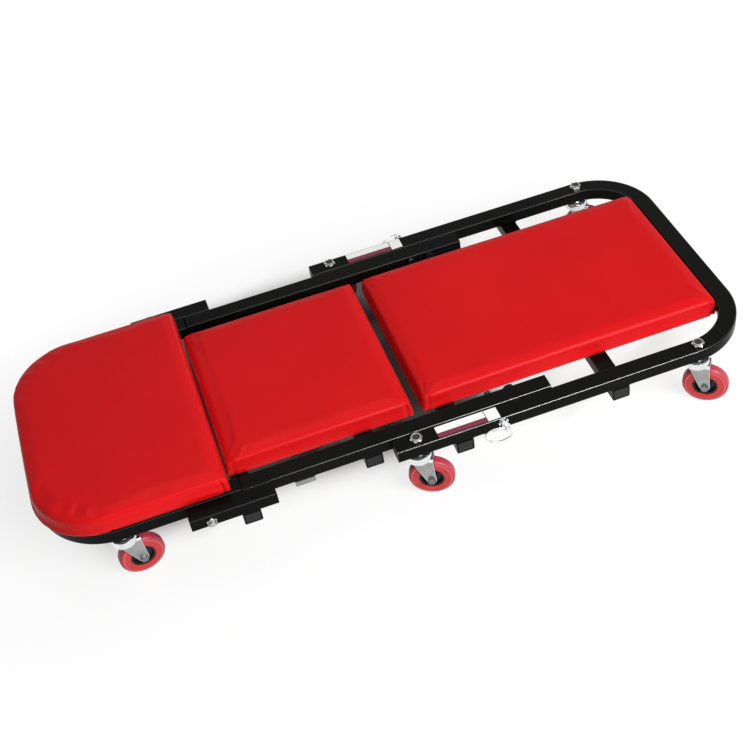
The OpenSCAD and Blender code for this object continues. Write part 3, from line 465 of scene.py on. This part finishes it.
def pad_blank(name, low, high, head_radius, foot_radius):
    """Block of foam with its corners and its top edge rounded and a shallow pocket below."""
    size = high - low
    middle = (low + high) / 2
    top = high.z - pad_crown
    bpy.ops.object.select_all(action="DESELECT")
    bpy.ops.mesh.primitive_cube_add(size=1, location=(0, 0, 0))
    pad = bpy.context.object
    pad.name = name
    pad.data.name = name
    bpy.ops.object.mode_set(mode="EDIT")
    bpy.ops.mesh.select_all(action="SELECT")
    bpy.ops.transform.resize(value=(size.x, size.y, top - low.z))
    bpy.ops.transform.translate(value=(middle.x, middle.y, (top + low.z) / 2))
    for radius, at_x, steps in ((head_radius, low.x, 14), (foot_radius, high.x, 4)):
        pick_edges(pad, lambda a, b: abs(a.x - at_x) < same_place and abs(b.x - at_x) < same_place
                   and abs(a.y - b.y) < same_place < abs(a.z - b.z))
        bpy.ops.mesh.bevel(offset=radius, offset_type="OFFSET", segments=steps, affect="EDGES")
    pick_edges(pad, lambda a, b: a.z > top - same_place and b.z > top - same_place)
    bpy.ops.mesh.bevel(offset=blank_edge_r, offset_type="OFFSET", segments=4, affect="EDGES")
    pick_points(pad, lambda p: p.z < low.z + same_place)
    bpy.ops.mesh.inset(thickness=pad_rim, depth=0)
    bpy.ops.transform.translate(value=(0, 0, pad_recess))
    bpy.ops.object.mode_set(mode="OBJECT")
    return pad


def swell(pad):
    """Lets the cover swell over its foam, with the edge under the board held."""
    remesh = pad.modifiers.new("even_mesh", "REMESH")
    remesh.mode = "VOXEL"
    remesh.voxel_size = cover_voxel
    bpy.context.view_layer.objects.active = pad
    bpy.ops.object.modifier_apply(modifier="even_mesh")
    start = [point.co.copy() for point in pad.data.vertices]
    held_below = min(p.z for p in start) + held_height
    held = pad.vertex_groups.new(name="held")
    held.add([i for i, p in enumerate(start) if p.z < held_below], 1, "REPLACE")
    cloth = pad.modifiers.new("cover", "CLOTH")
    cloth.settings.quality = 5
    cloth.settings.mass = 0.35
    cloth.settings.tension_stiffness = 25
    cloth.settings.compression_stiffness = 25
    cloth.settings.bending_stiffness = 1.5
    cloth.settings.use_pressure = True
    cloth.settings.uniform_pressure_force = 4
    cloth.settings.effector_weights.gravity = 0
    cloth.settings.vertex_group_mass = "held"
    scene = bpy.context.scene
    for number in range(swell_frames):
        scene.frame_set(number + 1)
    bpy.ops.object.modifier_apply(modifier="cover")
    scene.frame_set(1)
    pad.vertex_groups.clear()
    for point, before in zip(pad.data.vertices, start):
        shift = point.co - before
        if shift.length > pad_swell:
            point.co = before + shift * (pad_swell / shift.length)
    finer = pad.modifiers.new("finer", "SUBSURF")
    finer.levels = 1
    finer.render_levels = 1
    bpy.ops.object.modifier_apply(modifier="finer")


def crease(place, start, end, width, depth):
    """How far a crease from start to end draws a place in."""
    line = end - start
    share = max(0.0, min(1.0, (place - start).dot(line) / line.length_squared))
    gap = (place - (start + line * share)).length
    fade = 1 - share * share
    return depth * fade * math.exp(-(gap / width) ** 2)


corner_creases = ((18, 0.046, 0.0011), (45, 0.034, 0.0016), (73, 0.052, 0.0012))
crease_tip = (0.004, 0.004, -0.004)
crease_rise = Vector((0, 0, 0.003))
crease_width = 0.0032
slit_foot = (0.009, 0.0005, 0.002)
slit_head = (0.011, 0.002, -0.006)
slit_width = 0.0022
slit_depth = 0.0022
pleat_reach = 0.08


def inside(corner, step, height):
    """Place a step in from a corner and up from a height."""
    x, y, side_x, side_y = corner
    return Vector((x - side_x * step[0], y - side_y * step[1], height + step[2]))


def pleat(pad, corners, low, high):
    """Folds at the square corners: a slit down the corner and creases that run out over the top."""
    folds = []
    for corner in corners:
        tip = inside(corner, crease_tip, high.z)
        for angle, reach, depth in corner_creases:
            turn = math.radians(angle)
            inward = Vector((-corner[2] * math.cos(turn), -corner[3] * math.sin(turn), 0))
            folds.append((tip, tip + inward * reach + crease_rise, crease_width, depth))
        foot = inside(corner, slit_foot, low.z)
        head = inside(corner, slit_head, high.z)
        folds.append((head, foot + (foot - head) * 2, slit_width, slit_depth))
    normals = [point.normal.copy() for point in pad.data.vertices]
    for point, normal in zip(pad.data.vertices, normals):
        for start, end, width, depth in folds:
            if (point.co - start).length < pleat_reach:
                point.co = point.co - normal * crease(point.co, start, end, width, depth)


def squared(inward, up, radius):
    """Draws a place near the lower edge out to the crisp edge that the folded vinyl has."""
    u = 1 - inward / radius
    v = 1 - up / radius
    span = math.hypot(u, v)
    if min(u, v) <= 0 or span < fold_start:
        return inward, up
    corner = 2 * u * v / span ** 2
    even = 1 + (span - 1) * (1 - corner)
    stretch = even / span * (1 + edge_fold * (span / max(u, v) - 1))
    return radius * (1 - u * stretch), radius * (1 - v * stretch)


def covered_pad(name, node, body, head_radius, foot_radius, bow=0, slope=0):
    """Blank that is swollen, bowed at the head, sloped, folded at its lower edge and pleated."""
    low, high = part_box(node)
    pad = pad_blank(name, low + Vector((bow, 0, 0)), high, head_radius, foot_radius)
    swell(pad)
    square_head = head_radius == corner_r
    middle = (low + high) / 2
    half = (high - low) / 2
    for point in pad.data.vertices:
        across = (point.co.y - middle.y) / half.y
        along = (point.co.x - middle.x) / half.x
        rise = (point.co.z - low.z) / (high.z - low.z)
        point.co.x -= bow * (1 - across * across) * max(0.0, -along) ** 3
        radius = head_radius if along < 0 else foot_radius
        out_x = abs(point.co.x - middle.x) - half.x + radius
        out_y = abs(point.co.y - middle.y) - half.y + radius
        inward = -(math.hypot(max(out_x, 0), max(out_y, 0)) + min(max(out_x, out_y), 0) - radius)
        wanted, height = squared(inward, point.co.z - low.z, lower_edge_r)
        outward = Vector((
            max(out_x, 0) * (1 if along > 0 else -1), max(out_y, 0) * (1 if across > 0 else -1), 0))
        if outward.length < 1e-6:
            outward = Vector((along, 0, 0)) if out_x > out_y else Vector((0, across, 0))
        point.co += outward.normalized() * (inward - wanted)
        point.co.z = low.z + height
        lift = min(max((point.co.z - high.z + pad_crown + pad_edge_r) / pad_edge_r, 0), 1)
        fade = max(0, 1 - (point.co.x - low.x) / slope_reach)
        point.co.x += slope * math.asin(lift) / (math.pi / 2) * fade ** 2
        if rise > 0.5:
            crown = (1 - across ** 4) * (1 - along ** 4)
            point.co.z += pad_crown * crown * crown_share
        wave = sum(noise.noise(point.co * pitch) * swing for pitch, swing in cover_waves)
        point.co.z += wave * rise
        point.co.z = min(point.co.z, high.z + top_give)
        point.co.x = min(max(point.co.x, low.x - head_give), high.x + foot_give)
        point.co.y = min(max(point.co.y, low.y - side_give), high.y + side_give)
        if square_head:
            point.co.y += far_reach * max(0, across) ** 2
    square = [(high.x, low.y, 1, -1), (high.x, high.y, 1, 1)]
    if square_head:
        square += [(low.x, low.y, -1, -1), (low.x, high.y, -1, 1)]
    pad.data.update()
    pleat(pad, square, low, high)
    for face in pad.data.polygons:
        face.use_smooth = True
    pad.data.materials.append(vinyl)
    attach(pad, body)
    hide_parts(node)


covered_pad("foot_cover", "foot_pad", "foot_frame", corner_r, foot_end_r)
covered_pad("mid_cover", "mid_pad", "mid_frame", corner_r, corner_r, slope=mid_slope)
covered_pad("head_cover", "head_pad", "head_frame", head_round_r, corner_r, bow=head_bow)

# Labels: glossy vinyl stickers on top of the foot tube, each a white field with a maroon band along
# its near edge, and a small plain white badge at its foot end.
strip_width = 0.020
band_width = 0.0084
badge_length = 0.018
maroon = (0.17, 0.012, 0.035)
label_paint = finish_material(
    "label_print", light=(0.86, 0.86, 0.85), dark=(0.78, 0.78, 0.77),
    rough=(0.32, 0.42), grain_scale=900, cloud_scale=40, grain_depth=0.00003, specular=0.35)
label_tree = label_paint.node_tree
label_low, label_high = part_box("label_strips")
label_field = first_node(label_paint, "ShaderNodeMix").outputs["Result"]
label_parts = label_tree.nodes.new("ShaderNodeSeparateXYZ")
label_tree.links.new(
    first_node(label_paint, "ShaderNodeTexCoord").outputs["Object"], label_parts.inputs[0])
bands = []
for strip_edge in (label_low.y, label_high.y - strip_width):
    bands.append(math_node(
        label_tree, "COMPARE", label_parts.outputs["Y"], strip_edge + band_width / 2, band_width / 2))
any_band = math_node(label_tree, "MAXIMUM", *bands)
band_ends = math_node(label_tree, "LESS_THAN", label_parts.outputs["X"], label_high.x - badge_length)
band_mask = math_node(label_tree, "MULTIPLY", any_band, band_ends)
label_tree.links.new(
    mixed_tone(label_tree, band_mask, label_field, maroon),
    label_tree.nodes["Principled BSDF"].inputs["Base Color"])
dress(label_paint, "label_strips")

# Small steel parts: zinc plated screws, bolts, brackets and stems, with the dull spangle of plating.
# The lock pins, their bushes and rings are bright chrome.
zinc = finish_material(
    "zinc_plate", light=(0.62, 0.64, 0.63), dark=(0.46, 0.48, 0.47),
    rough=(0.26, 0.42), grain_scale=1500, cloud_scale=120, grain_depth=0.00003, metallic=1)
chrome = finish_material(
    "chrome_plate", light=(0.86, 0.87, 0.88), dark=(0.74, 0.75, 0.77),
    rough=(0.08, 0.2), grain_scale=2200, cloud_scale=90, grain_depth=0.00001, metallic=1)
dress(
    zinc, "foot_pad_screws", "mid_pad_screws", "head_pad_screws", "head_hinge_bolts",
    "foot_caster_stems", "head_caster_stems", "lock_pin_springs")
dress(
    chrome, "lock_pin_housings", "lock_pin_front", "lock_pin_back", "pull_ring_front",
    "pull_ring_back")

# Fold hinge bolts and lock pin sleeves: coated with the frame, so they are black. The small angles
# under the rails share the sleeves' node, are screwed on afterwards and stay zinc.
coated_steel = finish_material(
    "coated_steel", light=(0.004, 0.004, 0.004), dark=(0.008, 0.0078, 0.0074),
    rough=(0.3, 0.42), grain_scale=900, cloud_scale=60, grain_depth=0.00003, specular=0.06)
dress(coated_steel, "fold_hinge_bolts")
sleeves_from_x = 0.05
sleeve_black = (0.005, 0.005, 0.005)
fitting_steel = finish_material(
    "fitting_steel", light=(0.33, 0.34, 0.34), dark=(0.24, 0.25, 0.25),
    rough=(0.3, 0.42), grain_scale=1500, cloud_scale=120, grain_depth=0.00003, metallic=1)
fitting_tree = fitting_steel.node_tree
fitting_shader = fitting_tree.nodes["Principled BSDF"]
fitting_zinc = first_node(fitting_steel, "ShaderNodeMix").outputs["Result"]
fitting_parts = fitting_tree.nodes.new("ShaderNodeSeparateXYZ")
fitting_tree.links.new(
    first_node(fitting_steel, "ShaderNodeTexCoord").outputs["Object"], fitting_parts.inputs[0])
sleeves = math_node(fitting_tree, "GREATER_THAN", fitting_parts.outputs["X"], sleeves_from_x)
angles = math_node(fitting_tree, "SUBTRACT", 1, sleeves)
fitting_tree.links.new(
    mixed_tone(fitting_tree, sleeves, fitting_zinc, sleeve_black),
    fitting_shader.inputs["Base Color"])
fitting_tree.links.new(angles, fitting_shader.inputs["Metallic"])
dress(fitting_steel, "rail_fittings")

# Nuts: chromed lock nuts, a hexagon with its corners turned off and a round collar that is rolled
# over a dark nylon ring. One is made at the origin and copied to each stem and hinge bolt.
nut_r = 0.0088
nut_h = 0.0065
hex_share = 0.62
hex_h = nut_h * hex_share
hex_chamfer = (1.45, 0.86)
hex_give = 0.0002
hinge_nut_scale = 0.85


def cut_with(target, tool, operation):
    """Boolean of two closed blanks. The tool is removed afterwards."""
    bpy.ops.object.select_all(action="DESELECT")
    bpy.context.view_layer.objects.active = target
    target.select_set(True)
    step = target.modifiers.new("cut", "BOOLEAN")
    step.operation = operation
    step.object = tool
    step.solver = "EXACT"
    bpy.ops.object.modifier_apply(modifier="cut")
    bpy.data.objects.remove(tool)


def spun(name, profile, steps):
    """Closed ring or cap: a profile of radius and height, spun round Z and made whole."""
    bpy.ops.object.select_all(action="DESELECT")
    bpy.ops.mesh.primitive_plane_add(size=0.001, location=(0, 0, 0))
    ring = bpy.context.object
    ring.name = name
    bpy.ops.object.mode_set(mode="EDIT")
    bpy.ops.mesh.select_mode(type="VERT")
    bpy.ops.mesh.select_all(action="SELECT")
    bpy.ops.mesh.merge(type="CENTER")
    bpy.ops.transform.translate(value=(profile[0][0], 0, profile[0][1]))
    for (r0, z0), (r1, z1) in zip(profile, profile[1:]):
        bpy.ops.mesh.extrude_region_move(TRANSFORM_OT_translate={"value": (r1 - r0, 0, z1 - z0)})
    bpy.ops.mesh.select_all(action="SELECT")
    bpy.ops.mesh.spin(steps=steps, angle=2 * math.pi, center=(0, 0, 0), axis=(0, 0, 1))
    bpy.ops.mesh.select_all(action="SELECT")
    bpy.ops.mesh.remove_doubles(threshold=1e-6)
    bpy.ops.mesh.normals_make_consistent(inside=False)
    bpy.ops.object.mode_set(mode="OBJECT")
    bpy.ops.object.shade_smooth_by_angle(angle=math.radians(35))
    return ring


def lock_nut():
    """Hexagon with its corners turned off, and the collar over it."""
    bpy.ops.object.select_all(action="DESELECT")
    bpy.ops.mesh.primitive_cylinder_add(
        vertices=6, radius=nut_r, depth=hex_h, location=(0, 0, hex_h / 2))
    nut = bpy.context.object
    nut.data.materials.append(chrome)
    bpy.ops.object.select_all(action="DESELECT")
    bpy.ops.mesh.primitive_cone_add(
        vertices=72, radius1=nut_r * hex_chamfer[0], radius2=nut_r * hex_chamfer[1],
        depth=hex_h + 2 * hex_give, location=(0, 0, hex_h / 2 - hex_give))
    blank = bpy.context.object
    bpy.ops.object.transform_apply(location=True)
    bpy.context.view_layer.objects.active = nut
    nut.select_set(True)
    bpy.ops.object.transform_apply(location=True)
    cut_with(nut, blank, "INTERSECT")
    base = hex_h - hex_give
    collar = spun("collar", [
        (0.0051, base), (0.0074, base), (0.0075, base + 0.0012), (0.0071, nut_h - 0.0005),
        (0.0063, nut_h), (0.0055, nut_h - 0.0001), (0.0051, nut_h - 0.0007)], 48)
    return nut, collar


nut_body, nut_collar = lock_nut()
collar_zinc = finish_material(
    "collar_zinc", light=(0.40, 0.39, 0.38), dark=(0.30, 0.29, 0.28),
    rough=(0.25, 0.4), grain_scale=1500, cloud_scale=120, grain_depth=0.00003, metallic=1)
nut_collar.data.materials.append(collar_zinc)
plain_nut = join_pieces("nut_master", [nut_body, nut_collar])
nylon = finish_material(
    "dark_nylon", light=(0.012, 0.012, 0.013), dark=(0.02, 0.02, 0.02),
    rough=(0.45, 0.6), grain_scale=1800, cloud_scale=200, grain_depth=0.00003, specular=0.3)
nut_insert = spun("insert", [
    (0.0, nut_h - 0.0009), (0.0026, nut_h - 0.0009), (0.0050, nut_h - 0.0004),
    (0.0056, nut_h - 0.0006), (0.0056, nut_h - 0.0014), (0.0, nut_h - 0.0014)], 36)
nut_insert.data.materials.append(nylon)
nut_master = join_pieces("nut_master", [plain_nut, nut_insert])


def copy_piece(master, name, place):
    """Copy with a mesh of its own, put in its place."""
    piece = master.copy()
    piece.data = master.data.copy()
    piece.name = name
    piece.data.name = name
    bpy.context.scene.collection.objects.link(piece)
    piece.data.transform(place)
    return piece


def joints_of(kind):
    """Joints of one kind on all casters, by the caster's name."""
    return {joint["name"].replace(kind, ""): joint for joint in frame["joints"]
            if joint["name"].startswith(kind)}


swivels = joints_of("swivel_")
rolls = joints_of("roll_")
nut_turns = {"foot_front": 10, "foot_back": 25, "mid_front": 32, "mid_back": 5, "head_front": 15,
             "head_back": 40}
deck_top = tube_high.z
foot_nuts = []
head_nuts = []
for corner, joint in swivels.items():
    stem = Vector(joint["pos_m"])
    place = Matrix.Translation((stem.x, stem.y, deck_top)) @ Matrix.Rotation(
        math.radians(nut_turns[corner]), 4, "Z")
    piece = copy_piece(nut_master, "nut", place)
    (head_nuts if corner.startswith("head") else foot_nuts).append(piece)
for name, pieces, body, node in (
        ("foot_nuts", foot_nuts, "foot_frame", "foot_caster_nuts"),
        ("head_nuts", head_nuts, "head_frame", "head_caster_nuts")):
    nuts = join_pieces(name, pieces)
    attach(nuts, body)
    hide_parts(node)
hinge_low, hinge_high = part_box("head_hinge_nuts")
hinge_middle = (hinge_low + hinge_high) / 2
hinge_nuts = []
for side in (-1, 1):
    place = Matrix.Translation((hinge_middle.x, side * arms_high.y, hinge_middle.z)) @ Matrix.Rotation(
        math.radians(-side * 90), 4, "X")
    hinge_nuts.append(copy_piece(nut_master, "nut", place @ Matrix.Scale(hinge_nut_scale, 4)))
bpy.data.objects.remove(nut_master)
hinge_nut_pair = join_pieces("hinge_nuts", hinge_nuts)
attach(hinge_nut_pair, "mid_frame")
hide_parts("head_hinge_nuts")

# Forks: pressed from zinc plated sheet. The crown is bent down into two legs that narrow to a round
# tip, and the ball race's cup is swaged on top. Its bends and cut edges are given bright chrome as a
# painted highlight along them.
# One is made at the origin with its trail along X, and copied to each swivel.
fork_sheet = 0.0025
fork_out = 0.01154
crown_z = 0.071
crown_left = -0.009
crown_right = 0.019
bend_r = 0.0035
trail = 0.014
axle_z = 0.03175
tip_r = 0.007
leg_steps = 12
deburr = 0.0006


def bent_fork():
    """Half of the sheet is drawn from the middle of the crown to the tip, then mirrored."""
    rows = [(0.0, crown_z, crown_left, crown_right)]
    for angle_deg in (90, 75, 60, 45, 30, 15, 0):
        angle = math.radians(angle_deg)
        y = fork_out - bend_r + bend_r * math.cos(angle)
        z = crown_z - bend_r + bend_r * math.sin(angle)
        rows.append((y, z, crown_left, crown_right))
    top = crown_z - bend_r
    reach_left = math.hypot(crown_left - trail, top - axle_z)
    reach_right = math.hypot(crown_right - trail, top - axle_z)
    touch_left = math.atan2(top - axle_z, crown_left - trail) + math.acos(tip_r / reach_left)
    touch_right = math.atan2(top - axle_z, crown_right - trail) - math.acos(tip_r / reach_right)
    left = (trail + tip_r * math.cos(touch_left), axle_z + tip_r * math.sin(touch_left))
    right = (trail + tip_r * math.cos(touch_right), axle_z + tip_r * math.sin(touch_right))
    for step in range(1, leg_steps):
        z = top - (top - axle_z + tip_r) * step / leg_steps
        spread = math.sqrt(max(0.0, tip_r ** 2 - (z - axle_z) ** 2))
        x_left = (crown_left + (left[0] - crown_left) * (top - z) / (top - left[1])
                  if z > left[1] else trail - spread)
        x_right = (crown_right + (right[0] - crown_right) * (top - z) / (top - right[1])
                   if z > right[1] else trail + spread)
        rows.append((fork_out, z, x_left, x_right))
    for angle_deg in (-50, -65, -80):
        angle = math.radians(angle_deg)
        z = axle_z + tip_r * math.sin(angle)
        if z < rows[-1][1] - same_place:
            rows.append((fork_out, z, trail - tip_r * math.cos(angle), trail + tip_r * math.cos(angle)))
    bpy.ops.object.select_all(action="DESELECT")
    bpy.ops.mesh.primitive_plane_add(size=1)
    sheet = bpy.context.object
    sheet.name = "fork_master"
    bpy.ops.object.mode_set(mode="EDIT")
    bpy.ops.mesh.select_all(action="SELECT")
    bpy.ops.mesh.delete(type="ONLY_FACE")
    bpy.ops.object.mode_set(mode="OBJECT")
    pick_points(sheet, lambda p: p.y > 0)
    bpy.ops.mesh.delete(type="VERT")
    bpy.ops.object.mode_set(mode="OBJECT")
    first = rows[0]
    sheet.data.vertices[0].co = (first[2], first[0], first[1])
    sheet.data.vertices[1].co = (first[3], first[0], first[1])
    bpy.ops.object.mode_set(mode="EDIT")
    bpy.ops.mesh.select_mode(type="EDGE")
    bpy.ops.mesh.select_all(action="SELECT")
    for before, row in zip(rows, rows[1:]):
        centre_before = (before[2] + before[3]) / 2
        centre = (row[2] + row[3]) / 2
        bpy.ops.mesh.extrude_edges_move(TRANSFORM_OT_translate={
            "value": (centre - centre_before, row[0] - before[0], row[1] - before[1])})
        bpy.ops.transform.resize(
            value=((row[3] - row[2]) / (before[3] - before[2]), 1, 1),
            center_override=(centre, row[0], row[1]))
    bpy.ops.object.mode_set(mode="OBJECT")
    mirror = sheet.modifiers.new("other_leg", "MIRROR")
    mirror.use_axis = (False, True, False)
    mirror.merge_threshold = same_place
    bpy.ops.object.modifier_apply(modifier="other_leg")
    bpy.ops.object.mode_set(mode="EDIT")
    bpy.ops.mesh.select_all(action="SELECT")
    bpy.ops.mesh.normals_make_consistent(inside=False)
    bpy.ops.object.mode_set(mode="OBJECT")
    facing = sum(face.normal.z for face in sheet.data.polygons if face.center.z > crown_z - same_place)
    thick = sheet.modifiers.new("sheet", "SOLIDIFY")
    thick.thickness = fork_sheet
    thick.offset = -1 if facing > 0 else 1
    thick.use_even_offset = True
    bpy.ops.object.modifier_apply(modifier="sheet")
    sheet.data.materials.append(fork_zinc)
    sheet.data.materials.append(chrome)
    # The bevelled cut edges take the chrome finish as a painted highlight.
    edge = sheet.modifiers.new("deburr", "BEVEL")
    edge.width = deburr
    edge.segments = 2
    edge.material = 1
    edge.limit_method = "ANGLE"
    edge.angle_limit = math.radians(50)
    bpy.ops.object.modifier_apply(modifier="deburr")
    return sheet


race_cup = spun("race_cup", [
    (0.0055, 0.0685), (0.0160, 0.0685), (0.0172, 0.0689), (0.0175, 0.0700), (0.0175, 0.0726),
    (0.0170, 0.0748), (0.0166, 0.0772), (0.0160, 0.0780), (0.0152, 0.0778), (0.0150, 0.0770),
    (0.0150, 0.0735), (0.0055, 0.0730), (0.0055, 0.0685)], 64)
fork_zinc = finish_material(
    "fork_zinc", light=(0.40, 0.415, 0.405), dark=(0.29, 0.305, 0.295),
    rough=(0.28, 0.42), grain_scale=1100, cloud_scale=60, grain_depth=0.00002, metallic=1)
fork_blank = bent_fork()
# Painted highlight: the faces on the crown's bends take the bright chrome finish.
for face in fork_blank.data.polygons:
    if face.center.z > crown_z - bend_r and abs(face.center.y) > fork_out - bend_r:
        face.material_index = 1
race_cup.data.materials.append(chrome)
fork_master = join_pieces("fork_master", [fork_blank, race_cup])


def caster_turn(corner):
    """How far a caster is swivelled at rest, from the line of its axle."""
    axle_line = Vector(rolls[corner]["axis"])
    return math.atan2(-axle_line.x, axle_line.y)


for corner, joint in swivels.items():
    stem = Vector(joint["pos_m"])
    fork = copy_piece(
        fork_master, "bent_fork_" + corner,
        Matrix.Translation((stem.x, stem.y, 0)) @ Matrix.Rotation(caster_turn(corner), 4, "Z"))
    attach(fork, "fork_" + corner)
    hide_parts("fork_" + corner)
bpy.data.objects.remove(fork_master)

# Wheels: a black nylon hub with a red polyurethane tyre moulded on it, on a plated axle bolt.
# The tyre's colour is paler in a ring at its shoulder, a painted highlight, and darker toward the
# tread.
hub_nylon = finish_material(
    "hub_nylon", light=(0.010, 0.010, 0.011), dark=(0.018, 0.018, 0.019),
    rough=(0.42, 0.55), grain_scale=1300, cloud_scale=60, grain_depth=0.00008, specular=0.3)
axle_steel = finish_material(
    "axle_steel", light=(0.30, 0.31, 0.31), dark=(0.16, 0.165, 0.165),
    rough=(0.16, 0.34), grain_scale=1500, cloud_scale=160, grain_depth=0.00003, metallic=1)
wheel_r = 0.03175
shoulder = 0.0055
# Painted highlight: the paler ring of colour at the tyre's shoulder.
shoulder_highlight = (0.60, 0.13, 0.14)
tread_dark = (0.37, 0.036, 0.055)
shoulder_stops = ((0.05, shoulder_highlight, 0.8), (0.2, shoulder_highlight, 0.8), (0.32, tread_dark, 0.75))
for corner in swivels:
    dress(axle_steel, "axle_" + corner)
    dress(hub_nylon, "hub_" + corner)
    tyre_low, tyre_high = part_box("tyre_" + corner)
    rubber = finish_material(
        "red_tyre_" + corner, light=(0.50, 0.030, 0.032), dark=(0.42, 0.022, 0.025),
        rough=(0.34, 0.46), grain_scale=1100, cloud_scale=35, grain_depth=0.00006, specular=0.3)
    rubber_tree = rubber.node_tree
    rubber_red = first_node(rubber, "ShaderNodeMix").outputs["Result"]
    centre = rubber_tree.nodes.new("ShaderNodeMapping")
    centre.vector_type = "TEXTURE"
    centre.inputs["Location"].default_value = (tyre_low + tyre_high) / 2
    centre.inputs["Rotation"].default_value = (0, 0, caster_turn(corner))
    flat = rubber_tree.nodes.new("ShaderNodeVectorMath")
    flat.operation = "MULTIPLY"
    flat.inputs[1].default_value = (1, 0, 1)
    radius = rubber_tree.nodes.new("ShaderNodeVectorMath")
    radius.operation = "LENGTH"
    reach = rubber_tree.nodes.new("ShaderNodeMapRange")
    reach.inputs["From Min"].default_value = wheel_r - shoulder
    reach.inputs["From Max"].default_value = wheel_r
    # Colour bands across the shoulder: the painted highlight ring, then the darker tread.
    bands = rubber_tree.nodes.new("ShaderNodeValToRGB")
    bands.color_ramp.elements[0].position = 0.0
    bands.color_ramp.elements[0].color = (*shoulder_highlight, 0)
    bands.color_ramp.elements[1].position = 1.0
    bands.color_ramp.elements[1].color = (*tread_dark, 1)
    for place, tone, share in shoulder_stops:
        stop = bands.color_ramp.elements.new(place)
        stop.color = (*tone, share)
    rubber_tree.links.new(
        first_node(rubber, "ShaderNodeTexCoord").outputs["Object"], centre.inputs["Vector"])
    rubber_tree.links.new(centre.outputs["Vector"], flat.inputs[0])
    rubber_tree.links.new(flat.outputs["Vector"], radius.inputs[0])
    rubber_tree.links.new(radius.outputs["Value"], reach.inputs["Value"])
    rubber_tree.links.new(reach.outputs["Result"], bands.inputs["Fac"])
    rubber_tree.links.new(
        mixed_tone(rubber_tree, bands.outputs["Alpha"], rubber_red, bands.outputs["Color"]),
        rubber_tree.nodes["Principled BSDF"].inputs["Base Color"])
    dress(rubber, "tyre_" + corner)
